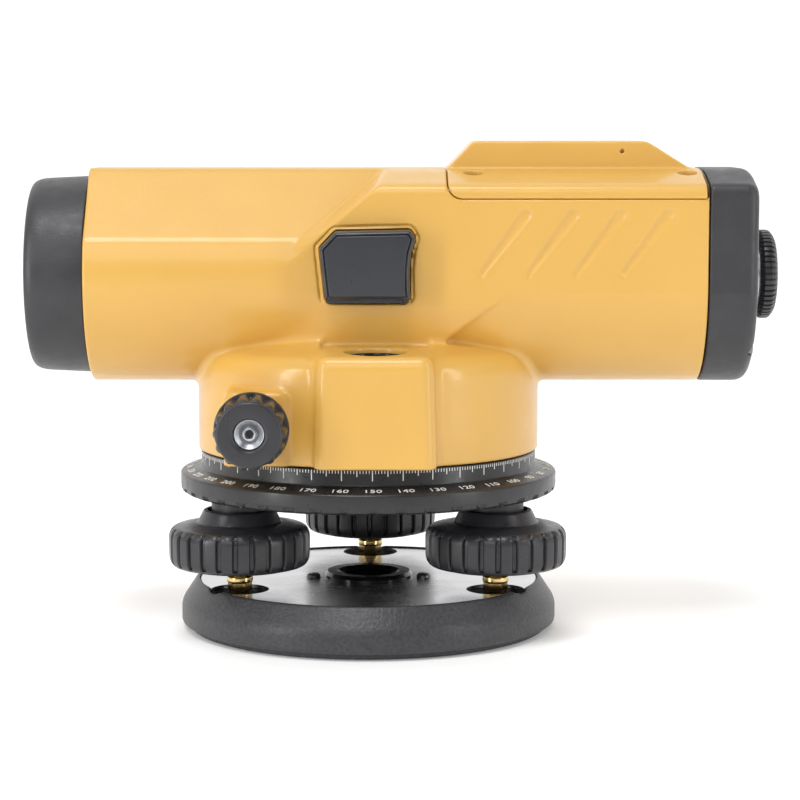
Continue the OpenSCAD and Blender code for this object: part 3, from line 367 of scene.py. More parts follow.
def rear_field(x, y, z):
    """The black rear cover, open towards the telescope."""
    w, side = z - SIGHT, np.abs(y)
    cover = soft_max(rear_section(side, w), x - REAR_X[1], 4)
    cover = soft_max(cover, REAR_X[0] - x, 0.7)
    cover = soft_max(cover, -meet(np.hypot(side, w) - 25.5, x - REAR_X[1] + REAR_WALL), 0.5)
    cover = soft_max(cover, -(np.hypot(side, w) - EYE_BORE_R), 0.8)
    screws = np.hypot(side - REAR_SCREW, np.abs(w) - REAR_SCREW) - 2.15
    return soft_max(cover, -meet(screws, REAR_X[1] - 2 - x), 0.5)


def base_field(x, y, z):
    """The round base plate with its foot rim, plate bed, sockets and underside pocket."""
    r = np.hypot(x, y)
    edge_r, top_r, foot_r = BASE_R
    groove, crease, top = BASE_Z
    slope = line_field(r, z, (top_r, top), (edge_r, crease))
    upper = soft_max(soft_max(soft_max(r - edge_r, slope, 0.9), z - top, 0.6), groove - z, 1)
    plate = soft_min(upper, meet(r - foot_r, -z, z - 6), 0.3)
    plate = soft_max(plate, -meet(r - PLATE_BED[0], PLATE_BED[1] - z), 0.4)
    plate = soft_max(plate, -(r - THREAD_SEAT_R), 0.4)
    plate = soft_max(plate, -meet(np.abs(r - 27) - 7, z - 6), 1)
    for fx, fy in FEET.values():
        socket = np.hypot(x - fx, y - fy)
        for socket_r, floor in ((8.35, 10.3), (4.4, 3.8)):
            plate = soft_max(plate, -meet(socket - socket_r, floor - z), 0.4)
    return soft_max(plate, -z, 0.6)


def mirror_field(x, y, z):
    """The level mirror's black housing: a rounded frame around a slightly domed face, open below."""
    outline = mirror_outline(x, z)
    dome = MIRROR_FRONT + 0.35 + 0.0012 * ((x - 0.5) ** 2 + (z - 107) ** 2)
    case = soft_max(outline + 0.05, dome - y, 1.9)
    case = soft_max(case, y - MIRROR_BACK, 0.3)
    ring = meet(np.abs(outline + 1.2) - 0.17, y - dome - 0.8, MIRROR_SLOT - 0.3 - z)
    case = soft_max(case, -ring, 0.22)
    apron = meet(z - MIRROR_SLOT, y - dome - 0.35 - 0.5 * (MIRROR_SLOT - z))
    case = soft_max(case, -apron, 0.25)
    lip = meet(np.abs(z - 97.3) - 0.38, np.abs(x - 3.3) - 4.9, y - dome - 2.2)
    case = soft_max(case, -lip, 0.3)
    slot = meet(np.abs(x + 0.75) - 10.3, np.abs(y + 33.7) - 2.7)
    return soft_max(case, -meet(slot, z - 99 - (y + 36.4)), 0.4)


# ---------- meshes ----------
def sample(values, at):
    """Values of a grid between its points."""
    base = np.clip(np.floor(at).astype(int), 0, np.array(values.shape) - 2)
    part = at - base
    total = np.zeros(len(at), np.float32)
    for corner in np.ndindex(2, 2, 2):
        weight = np.prod(np.where(corner, part, 1 - part), axis=1)
        i, j, k = (base + corner).T
        total += weight * values[i, j, k]
    return total


def smooth_normals(mesh, values, at):
    """Gives a mesh the field's own normals, so that blends shade cleanly."""
    step = 0.6
    normals = np.stack([sample(values, at + step * axis) - sample(values, at - step * axis)
                        for axis in np.eye(3)], 1)
    length = np.linalg.norm(normals, axis=1, keepdims=True)
    mesh.shade_smooth()
    mesh.normals_split_custom_set_from_vertices(normals / np.maximum(length, 1e-9))


def cast(field, corner, far_corner, pitch, keep):
    """Meshes a distance field, and thins it out to the share of its faces given by keep."""
    margin = 2 * pitch
    lo, hi = np.array(corner) - margin, np.array(far_corner) + margin
    axes = [np.arange(a, b + pitch, pitch, dtype=np.float32) for a, b in zip(lo, hi)]
    x, y, z = np.ix_(*axes)
    band = 3 * pitch
    values = np.clip(field(x, y, z), -band, band).astype(np.float32)
    grid = openvdb.FloatGrid(band)
    grid.copyFromArray(values)
    points, quads = grid.convertToQuads(0)
    mesh = bpy.data.meshes.new("cast")
    mesh.from_pydata((lo + points * pitch) * MM, [], quads)
    mesh = thinned(mesh, keep)
    at = np.empty(3 * len(mesh.vertices), np.float32)
    mesh.vertices.foreach_get("co", at)
    smooth_normals(mesh, values, (at.reshape(-1, 3) / MM - lo) / pitch)
    return mesh


def thinned(mesh, keep):
    """A copy of a mesh with the given share of its faces."""
    holder = bpy.data.objects.new("holder", mesh)
    bpy.context.scene.collection.objects.link(holder)
    thin = holder.modifiers.new("thin", "DECIMATE")
    thin.ratio = keep
    found = bpy.data.meshes.new_from_object(holder.evaluated_get(bpy.context.evaluated_depsgraph_get()))
    bpy.data.objects.remove(holder)
    return found


def filleted(corners, steps=4):
    """Rounds a profile's corners. A corner is (radius, height, fillet) and may end with a wave depth."""
    found = []
    count = len(corners)
    for i, corner in enumerate(corners):
        here, fillet = np.array(corner[:2], float), corner[2]
        wave = corner[3] if len(corner) > 3 else 0
        if not fillet:
            found.append((*here, wave))
            continue
        legs = [np.array(corners[j % count][:2], float) - here for j in (i - 1, i + 1)]
        start, end = [here + leg * min(0.5, fillet / np.linalg.norm(leg)) for leg in legs]
        for t in np.linspace(0, 1, steps + 1):
            point = (1 - t) ** 2 * start + 2 * t * (1 - t) * here + t * t * end
            found.append((*point, wave))
    return found


def plain_columns(count=96):
    """Evenly spaced angles without a wave."""
    return [(2 * math.pi * i / count, 0) for i in range(count)]


def rib_columns(count):
    """Angles round a knob with broad lands and narrow grooves, and how far each is into a groove."""
    shape = [(0, 0), (0.31, 0), (0.36, 0.3), (0.4, 0.95), (0.5, 1), (0.6, 0.95), (0.64, 0.3), (0.69, 0)]
    return [(2 * math.pi * (i + u) / count, f) for i in range(count) for u, f in shape]


def lobe_columns(count, samples=16):
    """Angles round a knob with hollows pressed into its rim."""
    return [(a, abs(math.sin(a * count / 2)) ** 3)
            for a in (2 * math.pi * i / (count * samples) for i in range(count * samples))]


def turned(profile, columns=None, sharp=40):
    """A closed profile of (radius, height, wave depth) points turned about Z."""
    columns = columns or plain_columns()
    rings, count = len(profile), len(columns)
    verts = [((r - wave * f) * math.cos(a) * MM, (r - wave * f) * math.sin(a) * MM, h * MM)
             for a, f in columns for r, h, wave in profile]
    faces = []
    for i in range(count):
        for j in range(rings):
            a, b = i * rings, (i + 1) % count * rings
            k = (j + 1) % rings
            if profile[j][0] > 1e-6 or profile[k][0] > 1e-6:
                faces.append((a + j, a + k, b + k, b + j))
    mesh = bpy.data.meshes.new("turned")
    mesh.from_pydata(verts, [], faces)
    return tidied(mesh, sharp)


def tidied(mesh, sharp=40):
    """Joins doubled points, points all faces outwards and keeps edges sharper than the angle."""
    work = bmesh.new()
    work.from_mesh(mesh)
    bmesh.ops.remove_doubles(work, verts=work.verts, dist=1e-7)
    bmesh.ops.dissolve_degenerate(work, dist=1e-7, edges=work.edges)
    bmesh.ops.recalc_face_normals(work, faces=work.faces)
    work.to_mesh(mesh)
    work.free()
    mesh.shade_smooth()
    mesh.set_sharp_from_angle(angle=math.radians(sharp))
    return mesh


def placed(mesh, offset=(0, 0, 0), axis="Z", flip=False):
    """Moves a turned mesh to its place: Z stays up, X or Y lays its axis along that direction."""
    turn = {"Z": Matrix.Identity(4), "X": Matrix.Rotation(math.pi / 2, 4, "Y"),
            "Y": Matrix.Rotation(-math.pi / 2, 4, "X")}[axis]
    mesh.transform(turn)
    if flip:
        mesh.transform(Matrix.Rotation(math.pi, 4, "Z"))
    mesh.transform(Matrix.Translation(Vector(offset) * MM))
    return mesh


def joined(meshes):
    """One mesh from several."""
    verts, faces = [], []
    for mesh in meshes:
        base = len(verts)
        verts += [tuple(v.co) for v in mesh.vertices]
        faces += [tuple(base + i for i in p.vertices) for p in mesh.polygons]
    mesh = bpy.data.meshes.new("joined")
    mesh.from_pydata(verts, [], faces)
    return tidied(mesh)


def piece(name, mesh, body, slot, finish, *nodes):
    """Adds a piece that rides on a CAD body and stands for the named CAD nodes."""
    mesh.materials.clear()
    mesh.materials.append(finish)
    made = bpy.data.objects.new(name, mesh)
    bpy.context.scene.collection.objects.link(made)
    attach(made, body)
    if nodes:
        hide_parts(*nodes)
    return made


# ---------- materials ----------
def srgb(r, g, b):
    """A colour given in display values from 0 to 255, as the linear values that shaders take."""
    return tuple((c / 12.92 if c <= 0.04045 else ((c + 0.055) / 1.055) ** 2.4)
                 for c in (r / 255, g / 255, b / 255)) + (1,)


def finish(name, colour, rough, metal=0, grain=(1400, 0.02), mottle=(90, 0.06), smudge=0.06,
           stretch=(1, 1, 1), **extra):
    """A surface finish: fine grain in the bump, mottling in the colour and smudges in the roughness."""
    made = bpy.data.materials.new(name)
    made.use_nodes = True
    nodes, links = made.node_tree.nodes, made.node_tree.links
    shader = nodes["Principled BSDF"]
    shader.inputs["Metallic"].default_value = metal
    for key, value in extra.items():
        shader.inputs[key.replace("_", " ")].default_value = value
    where = nodes.new("ShaderNodeTexCoord")
    spread = nodes.new("ShaderNodeMapping")
    spread.inputs["Scale"].default_value = stretch
    links.new(where.outputs["Object"], spread.inputs["Vector"])

    def noise(scale, detail, source):
        found = nodes.new("ShaderNodeTexNoise")
        found.inputs["Scale"].default_value = scale
        found.inputs["Detail"].default_value = detail
        links.new(source, found.inputs["Vector"])
        return found.outputs["Fac"]

    slow = noise(mottle[0], 3, where.outputs["Object"])
    ramp = nodes.new("ShaderNodeValToRGB")
    base = np.array(colour[:3])
    ramp.color_ramp.elements[0].position = 0.3
    ramp.color_ramp.elements[1].position = 0.7
    ramp.color_ramp.elements[0].color = (*(base * (1 - mottle[1])), 1)
    ramp.color_ramp.elements[1].color = (*np.minimum(base * (1 + mottle[1]), 1), 1)
    links.new(slow, ramp.inputs["Fac"])
    links.new(ramp.outputs["Color"], shader.inputs["Base Color"])
    rub = nodes.new("ShaderNodeMapRange")
    rub.inputs["From Min"].default_value = 0.3
    rub.inputs["From Max"].default_value = 0.7
    rub.inputs["To Min"].default_value = max(rough - smudge, 0.02)
    rub.inputs["To Max"].default_value = rough + smudge
    links.new(noise(mottle[0] * 2.3, 4, spread.outputs["Vector"]), rub.inputs["Value"])
    links.new(rub.outputs["Result"], shader.inputs["Roughness"])
    bump = nodes.new("ShaderNodeBump")
    bump.inputs["Distance"].default_value = grain[1] * MM
    bump.inputs["Strength"].default_value = 1
    links.new(noise(grain[0], 2, spread.outputs["Vector"]), bump.inputs["Height"])
    links.new(bump.outputs["Normal"], shader.inputs["Normal"])
    return made


TURNED = (0.15, 0.15, 6)
FINISHES = {
    "yellow_paint": finish("yellow_paint", srgb(214, 167, 78), 0.4, grain=(1500, 0.035), mottle=(60, 0.02),
                           Coat_Weight=0.4, Coat_Roughness=0.14),
    "black_cast_paint": finish("black_cast_paint", srgb(50, 50, 53), 0.42, grain=(1700, 0.06),
                               mottle=(120, 0.12)),
    "circle_black": finish("circle_black", srgb(38, 38, 40), 0.32, grain=(900, 0.01), mottle=(150, 0.1)),
    "dial_white": finish("dial_white", srgb(236, 236, 232), 0.5, grain=(2500, 0.005), mottle=(400, 0.04)),
    "black_plastic": finish("black_plastic", srgb(40, 42, 48), 0.32, grain=(1800, 0.003), mottle=(60, 0.03),
                            Coat_Weight=0.3, Coat_Roughness=0.25),
    "knob_plastic": finish("knob_plastic", srgb(46, 46, 49), 0.33, grain=(1300, 0.015), mottle=(140, 0.12)),
    "gloss_black": finish("gloss_black", srgb(22, 22, 25), 0.18, grain=(900, 0.006), mottle=(220, 0.15)),
    "bright_plate": finish("bright_plate", srgb(200, 200, 202), 0.26, metal=1, grain=(700, 0.0012),
                           mottle=(35, 0.03), smudge=0.04),
    "steel": finish("steel", srgb(186, 187, 192), 0.26, metal=1, grain=(900, 0.01), stretch=TURNED),
    "dark_steel": finish("dark_steel", srgb(130, 130, 134), 0.3, metal=1, grain=(900, 0.012)),
    "aluminium": finish("aluminium", srgb(196, 198, 202), 0.34, metal=1, grain=(1200, 0.012)),
    "black_anodised": finish("black_anodised", srgb(30, 30, 32), 0.4, metal=0.3, grain=(1500, 0.01)),
    "brass": finish("brass", srgb(222, 194, 132), 0.22, metal=1, grain=(700, 0.012), mottle=(160, 0.1),
                    stretch=TURNED),
    "bronze": finish("bronze", srgb(176, 128, 74), 0.34, metal=1, grain=(800, 0.012), mottle=(160, 0.1)),
    "optical_glass": finish("optical_glass", srgb(232, 246, 244), 0.04, grain=(600, 0.0005),
                            mottle=(60, 0.01), smudge=0.02, Transmission_Weight=1, IOR=1.52,
                            Coat_Weight=0.4, Coat_Roughness=0.03, Coat_Tint=srgb(190, 160, 235)),
    "level_glass": finish("level_glass", srgb(236, 246, 226), 0.05, grain=(600, 0.0005), mottle=(60, 0.01),
                          smudge=0.02, Transmission_Weight=1, IOR=1.5),
    "mirror": finish("mirror", srgb(236, 238, 240), 0.04, metal=1, grain=(500, 0.0006), mottle=(60, 0.01),
                     smudge=0.02),
}
LIQUID = finish("level_liquid", srgb(196, 214, 66), 0.12, grain=(500, 0.001), mottle=(150, 0.05),
                Subsurface_Weight=0.2)
BUBBLE = finish("level_bubble", srgb(236, 243, 190), 0.08, grain=(500, 0.001), mottle=(150, 0.05))
# Near-black finish: painted shade for the tangent shaft's hole, and the real black ink of the level's ring
# mark.
HOLE_SHADE_AND_RING_INK = finish("hole_shade_and_ring_ink", srgb(14, 14, 15), 0.5, grain=(900, 0.01))
# The base's black textured paint: its strong fine colour speckle stands partly for the paint's own grain
# and partly for painted glints off its texture.
BASE_GRAIN_AND_PAINTED_GLINTS = finish("base_grain_and_painted_glints", srgb(54, 54, 57), 0.42, grain=(1150, 0.14), mottle=(1000, 0.3))


# ---------- pieces ----------
def add_castings():
    """The blended castings: housing, lid, rear cover, base plate and mirror housing."""
    yellow, black = FINISHES["yellow_paint"], FINISHES["black_cast_paint"]
    for name, node, field, pitch, keep, body, slot, look in (
            ("housing_casting", "main_housing", housing_field, 1, 0.35, "alidade", "yellow_paint", yellow),
            ("compensator_lid", "top_cover", cover_field, 0.75, 0.6, "alidade", "yellow_paint", yellow),
            ("rear_cover_shell", "rear_cover", rear_field, 0.85, 0.6, "alidade", "black_cast_paint", black),
            ("base_casting", "base_plate", base_field, 1, 0.5, "base", "black_cast_paint", BASE_GRAIN_AND_PAINTED_GLINTS),
            ("mirror_case", "level_mirror_housing", mirror_field, 0.4, 1, "alidade", "black_plastic",
             FINISHES["black_plastic"])):
        lo, hi = ([c / MM for c in corner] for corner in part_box(node))
        piece(name, cast(field, lo, hi, FINE * pitch, keep), body, slot, look, node)


def add_hood():
    """The black hood in front of the objective."""
    x0, x1 = low("objective_hood", 0), BODY_X0 - 0.2
    lip = x1 + 9
    profile = filleted([(24.1, lip, 0.3), (26.35, lip, 0.4), (26.35, x1 + 0.4, 0.2), (28.3, x1, 0.5),
                        (27.6, x0 + 2.2, 2.6), (26.4, x0, 1.6), (24.9, x0, 0.5), (24.7, x0 + 5.6, 0.4),
                        (24.1, x0 + 6.4, 0.3)])
    piece("hood_shell", placed(turned(profile, plain_columns(160)), (0, 0, SIGHT), "X"), "alidade",
          "black_cast_paint", FINISHES["black_cast_paint"], "objective_hood")


def foot_knob_profile():
    """A ribbed knob with a sloping shoulder and a hollow collar at the top."""
    low_z, high_z, collar = 20.5, 33.4, 37.2
    return filleted([
        (3.06, low_z, 0.3), (15.6, low_z, 0.6), (16.4, low_z + 0.5, 0.4), (18.6, low_z + 0.7, 0.9, 0.1),
        (19.9, low_z + 2.4, 1.4, 1.0), (20, low_z + 6, 0, 1.15), (20, high_z - 3.2, 0.8, 1.1),
        (19.3, high_z - 1.6, 0.8, 0.5), (18.2, high_z - 0.9, 0.5, 0), (13.4, high_z + 0.05, 0.5),
        (11.9, high_z + 0.1, 0.5), (10.3, collar - 0.4, 0.5), (9.9, collar, 0.25), (9.05, collar, 0.2),
        (9.0, 31, 0.3), (3.06, 31, 0.3)], 3)


def add_feet():
    """The three foot screws with their ribbed knobs."""
    screw = [(0, 4.2, 0), (2.2, 4.6, 0.8), (4, 8.2, 2.6), (2.9, 11.2, 0.5), (2.6, 11.6, 0.2),
             (2.6, 13.4, 0.2), (3.45, 13.7, 0.2, 3.4), (3.45, 16.2, 0.2, 3.4), (3.7, 16.5, 0.25),
             (3.7, 17.9, 0.25), (3.0, 18.2, 0.2)]
    crest, root, pitch, start, turns = 3.0, 2.68, 1.0, 19.2, 19
    for i in range(turns):
        z = start + i * pitch
        screw += [(root, z, 0.1), (crest, z + 0.4, 0.1), (crest, z + 0.6, 0.1)]
    screw += [(2.5, 39.4, 0.3), (0, 39.5, 0)]
    hexagon = [(a, 1 - math.cos(math.pi / 6) / math.cos(a % (math.pi / 3) - math.pi / 6))
               for a in (2 * math.pi * i / 60 for i in range(60))]
    for name, (x, y) in FEET.items():
        knob_body = "knob_" + name
        screw_body = frame["nodes"]["foot_screw_" + name]["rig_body"]
        knob = turned(foot_knob_profile(), rib_columns(KNOB_RIBS))
        piece("knob_" + name, placed(knob, (x, y, 0)), knob_body, "knob_plastic", FINISHES["knob_plastic"],
              "foot_knob_" + name)
        piece("screw_" + name, placed(turned(filleted(screw, 2), hexagon), (x, y, 0)), screw_body, "brass",
              FINISHES["brass"], "foot_screw_" + name)


def add_head():
    """The leveling head's plate and hub, and its three bosses."""
    plate = filleted([(7.05, 47.2, 0.3), (19.95, 47.2, 0.4), (19.95, 45, 0.4), (50.1, 45, 0.6),
                      (50.1, 41, 0.8), (11.05, 41, 0.4), (11.05, 43.05, 0.2), (7.05, 43.05, 0.2)])
    boss = filleted([(5.6, 33.6, 0.4), (7.9, 33.6, 0.6), (7.9, 41.4, 0.2), (5.6, 41.4, 0.2)])
    parts = [turned(plate, plain_columns(128))]
    parts += [placed(turned(boss, plain_columns(48)), (x, y, 0)) for x, y in FEET.values()]
    piece("head_casting", joined(parts), "head", "black_cast_paint", FINISHES["black_cast_paint"],
          "leveling_head")


def add_circle():
    """The horizontal circle with its notched rim, scale and numbers."""
    notches, half = 43, 0.16
    shape = [(0, 0), (0.5 - half - 0.06, 0), (0.5 - half, 0.6), (0.5 - half / 2, 0.95), (0.5, 1),
             (0.5 + half / 2, 0.95), (0.5 + half, 0.6), (0.5 + half + 0.06, 0)]
    columns = [(2 * math.pi * (i + u) / notches, f) for i in range(notches) for u, f in shape]
    low_z, rim_z = low("horizontal_circle", 2), DIAL_RIM_Z
    hub, skirt, web = 20.05, 50.6, (45.3, 47.3)
    profile = filleted([
        (hub, web[0], 0.2), (skirt, web[0], 0.3), (skirt, low_z, 0.3), (DIAL_R - 1.6, low_z, 0.5, 0.1),
        (DIAL_R - 0.2, low_z + 0.7, 0.4, 1.0), (DIAL_R - 0.1, low_z + 1.6, 0.2, 0.8),
        (DIAL_R, low_z + 2, 0.2, 0), (DIAL_R, rim_z - 0.4, 0.4), (DIAL_R - 0.5, rim_z, 0.3),
        (DIAL_BAND_R, rim_z + DIAL_RISE, 0.4),
        (DIAL_BAND_R, DIAL_TOP, 0.3), (DIAL_BAND_R - 2, DIAL_TOP, 0.3), (DIAL_BAND_R - 2, web[1], 0.4),
        (hub, web[1], 0.2)], 3)
    piece("circle_disc", turned(profile, columns), "circle", "circle_black", FINISHES["circle_black"],
          "horizontal_circle")
    add_scale()


def add_scale():
    """White degree marks on the upright band, and numbers every ten degrees on the sloping rim."""
    top, sunk, lift = DIAL_TOP - 0.35, -0.05, 0.06
    verts, faces = [], []
    for degree in range(360):
        long = 3.2 if degree % 10 == 0 else 2 if degree % 5 == 0 else 1.2
        half = 0.1 if degree % 5 else 0.13
        a = math.radians(degree + 2)
        out, along = Vector((math.cos(a), math.sin(a), 0)), Vector((-math.sin(a), math.cos(a), 0))
        base = len(verts)
        for depth in (sunk, lift):
            for s, z in ((-half, top), (half, top), (half, DIAL_TOP - long), (-half, DIAL_TOP - long)):
                verts.append(tuple((out * (DIAL_BAND_R + depth) + along * s + Vector((0, 0, z))) * MM))
        faces += [tuple(base + i for i in f) for f in
                  ((0, 1, 2, 3), (7, 6, 5, 4), (0, 4, 5, 1), (1, 5, 6, 2), (2, 6, 7, 3), (3, 7, 4, 0))]
    marks = bpy.data.meshes.new("marks")
    marks.from_pydata(verts, [], faces)
    piece("circle_marks", tidied(marks), "circle", "dial_white", FINISHES["dial_white"])
    numbers = [number_mesh((150 - 10 * i) % 360, -88 + 10 * i) for i in range(36)]
    piece("circle_numbers", joined(numbers), "circle", "dial_white", FINISHES["dial_white"])


def number_mesh(value, degree):
    """A number lying on the sloping rim, read from outside."""
    curve = bpy.data.curves.new("number", "FONT")
    curve.body = str(value)
    curve.size = 2.9 * MM
    curve.align_x = "CENTER"
    curve.align_y = "CENTER"
    curve.extrude = 0.04 * MM
    curve.resolution_u = 3
    holder = bpy.data.objects.new("number", curve)
    bpy.context.scene.collection.objects.link(holder)
    mesh = bpy.data.meshes.new_from_object(holder.evaluated_get(bpy.context.evaluated_depsgraph_get()))
    bpy.data.objects.remove(holder)
    edge, reach = DIAL_R - 0.3, 51.9
    slope = math.atan2(DIAL_RISE, edge - DIAL_BAND_R)
    height = DIAL_RIM_Z + (edge - reach) * math.tan(slope)
    mesh.transform(Matrix.Rotation(math.pi / 2, 4, "Z") @ Matrix.Rotation(slope, 4, "X") @
                   Matrix.Diagonal((1.2, 1, 1, 1)))
    mesh.transform(Matrix.Translation(Vector((reach, 0, height)) * MM))
    mesh.transform(Matrix.Rotation(math.radians(degree), 4, "Z"))
    return mesh


def add_tangent_knobs():
    """The two scalloped knobs of the horizontal drive with their bright screw seats, and a near-black plug
    in each seat that paints the shade of the shaft's hole.
    """
    face = TANGENT_FACE
    r = 9.85
    knob = filleted([
        (3.05, face - 14, 0.2), (9.6, face - 14, 0.4), (10.25, face - 13.4, 0.3), (10.3, face - 12, 0.5),
        (r, face - 11.4, 0.3, 0.9), (r, face - 10.8, 0, 1.3), (r, face - 2.6, 0.4, 1.3),
        (r - 0.25, face - 1.4, 0.6, 1.0), (r - 1.05, face - 0.35, 0.5, 0.15), (r - 1.4, face, 0.3, 0),
        (4.9, face, 0.3), (4.4, face - 0.3, 0.2), (4.25, face - 1, 0.3), (4.2, face - 3.4, 0.2),
        (3.05, face - 3.4, 0.2)], 3)
    seat = filleted([
        (0.95, face - 4.6, 0.1), (4.15, face - 4.5, 0), (4.15, face - 1.7, 0.2), (3.9, face - 1.6, 0.1),
        (2.0, face - 3.6, 0.2), (1.85, face - 3.6, 0.1), (1.8, face - 2.3, 0.15), (1.3, face - 2.2, 0.15),
        (1.2, face - 3, 0.1), (0.95, face - 3.2, 0.1)], 3)
    # A near-black plug in the seat's opening: painted shade standing in for the shaft's hole.
    hole = filleted([(0, face - 4.4, 0), (1.42, face - 4.4, 0.1), (1.42, face - 3.05, 0.1),
                     (0, face - 3.2, 0)])
    for name, flip in (("right", False), ("left", True)):
        offset = (TANGENT[0], 0, TANGENT[1])
        for part, profile, columns, slot, look, nodes in (
                ("tangent_grip_", knob, lobe_columns(14), "knob_plastic", FINISHES["knob_plastic"],
                 ["tangent_knob_" + name]),
                ("tangent_seat_", seat, plain_columns(64), "steel", FINISHES["aluminium"], []),
                ("tangent_hole_shade_", hole, plain_columns(32), "gloss_black", HOLE_SHADE_AND_RING_INK, [])):
            made = placed(turned(profile, columns), offset, "Y", flip)
            piece(part + name, made, "tangent_drive", slot, look, *nodes)


def add_focusing_knob():
    """The ribbed focusing knob, hollow on its outer face."""
    y0, y1 = low("focusing_knob", 1), FOCUS_FACE
    r = high("focusing_knob", 0)
    knob = filleted([
        (3.05, y0, 0.3), (r - 4.2, y0, 0.8), (r - 1, y0 + 1.6, 0.8, 0.2), (r, y0 + 3, 0.8, 1.05),
        (r, y0 + 9, 0, 1.1), (r, y1 - 2.6, 0.8, 1.05), (r - 1.4, y1 - 0.8, 0.9, 0.3),
        (r - 4, y1 - 0.1, 0.8), (r - 5.6, y1 - 0.2, 0.4), (r - 6.4, y1 - 1.2, 0.4), (0, y1 - 1.5, 0),
        (0, y1 - 3.1, 0),
        (3.05, y1 - 3.1, 0.1)], 3)
    piece("focus_grip", placed(turned(knob, rib_columns(KNOB_RIBS)), (0, 0, SIGHT), "Y"), "focus_drive",
          "knob_plastic", FINISHES["knob_plastic"], "focusing_knob")


def add_eyepiece():
    """The ribbed diopter ring."""
    x0, x1, r = low("diopter_ring", 0), high("diopter_ring", 0), 12.8
    ring = filleted([
        (9.56, x0, 0.2), (r - 1.2, x0, 0.3), (r - 0.5, x0 + 0.5, 0.3, 0.2), (r, x0 + 1, 0.3, 0.75),
        (r, x0 + 2.4, 0, 0.8), (r - 0.1, x1 - 1.6, 0.4, 0.75), (r - 1.2, x1 - 0.6, 0.5, 0.3),
        (r - 2.4, x1, 0.4), (8.2, x1, 0.5), (7, x1 - 0.7, 0.3), (7, x1 - 0.8, 0), (9.56, x1 - 0.8, 0)], 3)
    piece("diopter_grip", placed(turned(ring, rib_columns(48)), (0, 0, SIGHT), "X"), "diopter",
          "black_plastic", FINISHES["knob_plastic"], "diopter_ring")


def add_circular_level():
    """The circular level: its case, glass, liquid, bubble and ring mark."""
    at = (LEVEL[0], LEVEL[1], 0)
    case = filleted([(8.35, 74.1, 0.3), (8.35, 82.4, 0.5), (7.6, 82.7, 0.3), (7.1, 82.4, 0.2),
                     (7.1, 76, 0.2), (0, 76, 0), (0, 74.1, 0)])
    piece("level_case", placed(turned(case), at), "alidade", "black_plastic", FINISHES["gloss_black"],
          "circular_level_case")
    glass = filleted([(0, 80.1, 0), (7.05, 80.1, 0.1), (7.05, 81.7, 0.4), (4, 82.1, 1), (0, 82.2, 0)])
    piece("level_window", placed(turned(glass), at), "alidade", "level_glass", FINISHES["level_glass"],
          "circular_level_glass")
    liquid = filleted([(0, 76.1, 0), (7.05, 76.1, 0.1), (7.05, 79.4, 0.1), (0, 79.4, 0)])
    piece("level_liquid", placed(turned(liquid), at), "alidade", "level_glass", LIQUID)
    bubble = filleted([(0, 79.45, 0), (1.6, 79.45, 0.2), (2, 79.75, 0.2), (1.6, 80.05, 0.2), (0, 80.05, 0)])
    piece("level_air", placed(turned(bubble, plain_columns(32)), at), "alidade", "level_glass", BUBBLE)
    mark = filleted([(2.5, 79.45, 0), (2.8, 79.45, 0), (2.8, 79.6, 0), (2.5, 79.6, 0)])
    piece("level_mark", placed(turned(mark, plain_columns(48)), at), "alidade", "gloss_black", HOLE_SHADE_AND_RING_INK)


def finish_cad_nodes():
    """Every CAD node that stays gets its slot's finish."""
    slots = {p["node"]: p["material_slot"] for p in frame["record"]["subparts"]}
    for name, node in frame["nodes"].items():
        node.data.materials.clear()
        node.data.materials.append(FINISHES[slots[name]])


def add_world():
    """A white backdrop behind the object, which fades to a dim room on the viewer's side."""
    world = bpy.data.worlds.new("studio")
    world.use_nodes = True
    nodes, links = world.node_tree.nodes, world.node_tree.links
    where, parts = nodes.new("ShaderNodeTexCoord"), nodes.new("ShaderNodeSeparateXYZ")
    fade = nodes.new("ShaderNodeMapRange")
    limits = {"From Min": -0.35, "From Max": 0.4, "To Min": ROOM_LIGHT, "To Max": BACKDROP_LIGHT}
    for name, value in limits.items():
        fade.inputs[name].default_value = value
    links.new(where.outputs["Generated"], parts.inputs["Vector"])
    links.new(parts.outputs["Y"], fade.inputs["Value"])
    links.new(fade.outputs["Result"], nodes["Background"].inputs["Strength"])
    nodes["Background"].inputs["Color"].default_value = (1, 1, 1, 1)
    bpy.context.scene.world = world


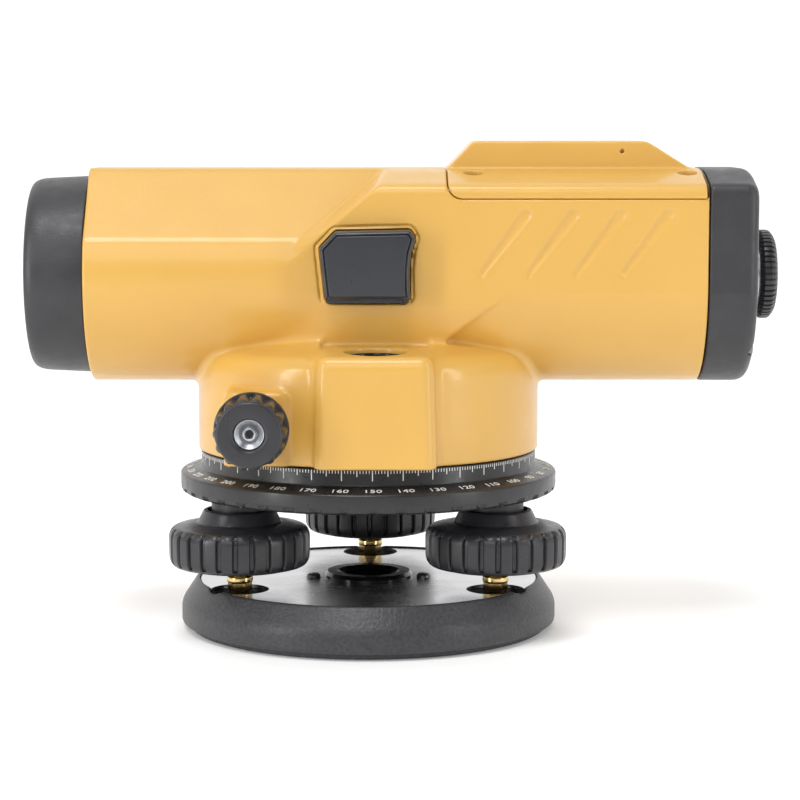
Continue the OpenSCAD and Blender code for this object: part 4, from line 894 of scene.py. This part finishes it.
def add_sun(name, towards, energy, spread):
    """A soft light from far away, given the direction that it comes from."""
    data = bpy.data.lights.new(name, "SUN")
    data.energy = energy
    data.angle = math.radians(spread)
    light = bpy.data.objects.new("light_" + name, data)
    bpy.context.scene.collection.objects.link(light)
    light.rotation_euler = Vector(towards).to_track_quat("Z", "Y").to_euler()


def add_strip(name, place, size, power):
    """An upright soft box that faces the object."""
    data = bpy.data.lights.new(name, "AREA")
    data.shape = "RECTANGLE"
    data.size, data.size_y = size
    data.energy = power
    light = bpy.data.objects.new("light_" + name, data)
    bpy.context.scene.collection.objects.link(light)
    light.location = place
    light.rotation_euler = (Vector((0, 0, 0.09)) - Vector(place)).to_track_quat("-Z", "Y").to_euler()


def add_stage():
    """The floor, the lights and the camera."""
    mesh = bpy.data.meshes.new("floor")
    reach = 4
    corners = [(sx * reach, sy * reach, 0) for sx, sy in ((-1, -1), (1, -1), (1, 1), (-1, 1))]
    mesh.from_pydata(corners, [], [(0, 1, 2, 3)])
    floor = bpy.data.objects.new("floor", mesh)
    bpy.context.scene.collection.objects.link(floor)
    white = finish("floor_white", (0.93, 0.93, 0.93, 1), 0.75, mottle=(6, 0.002), grain=(400, 0.01),
                   Emission_Color=(1, 1, 1, 1), Emission_Strength=0.14)
    mesh.materials.append(white)
    add_world()
    add_sun("front", (-0.15, -1, 0.6), 0.5, 28)
    add_sun("top", (-0.14, -0.44, 1), 1.35, 24)
    add_strip("left", (-0.72, -0.52, 0.28), (0.14, 0.9), 4.2)
    add_strip("right", (0.78, -0.46, 0.28), (0.14, 0.9), 2.8)
    data = bpy.data.cameras.new("camera")
    data.sensor_width = 36
    data.lens = 112.05
    data.clip_end = 20
    camera = bpy.data.objects.new("camera", data)
    bpy.context.scene.collection.objects.link(camera)
    camera.location = (0.0092, -0.72, 0.146)
    camera.rotation_euler = (math.radians(83.65), 0, 0)
    bpy.context.scene.camera = camera
    bpy.context.scene.view_settings.view_transform = "Standard"


add_stage()
finish_cad_nodes()
add_castings()
add_hood()
add_feet()
add_head()
add_circle()
add_tangent_knobs()
add_focusing_knob()
add_eyepiece()
add_circular_level()
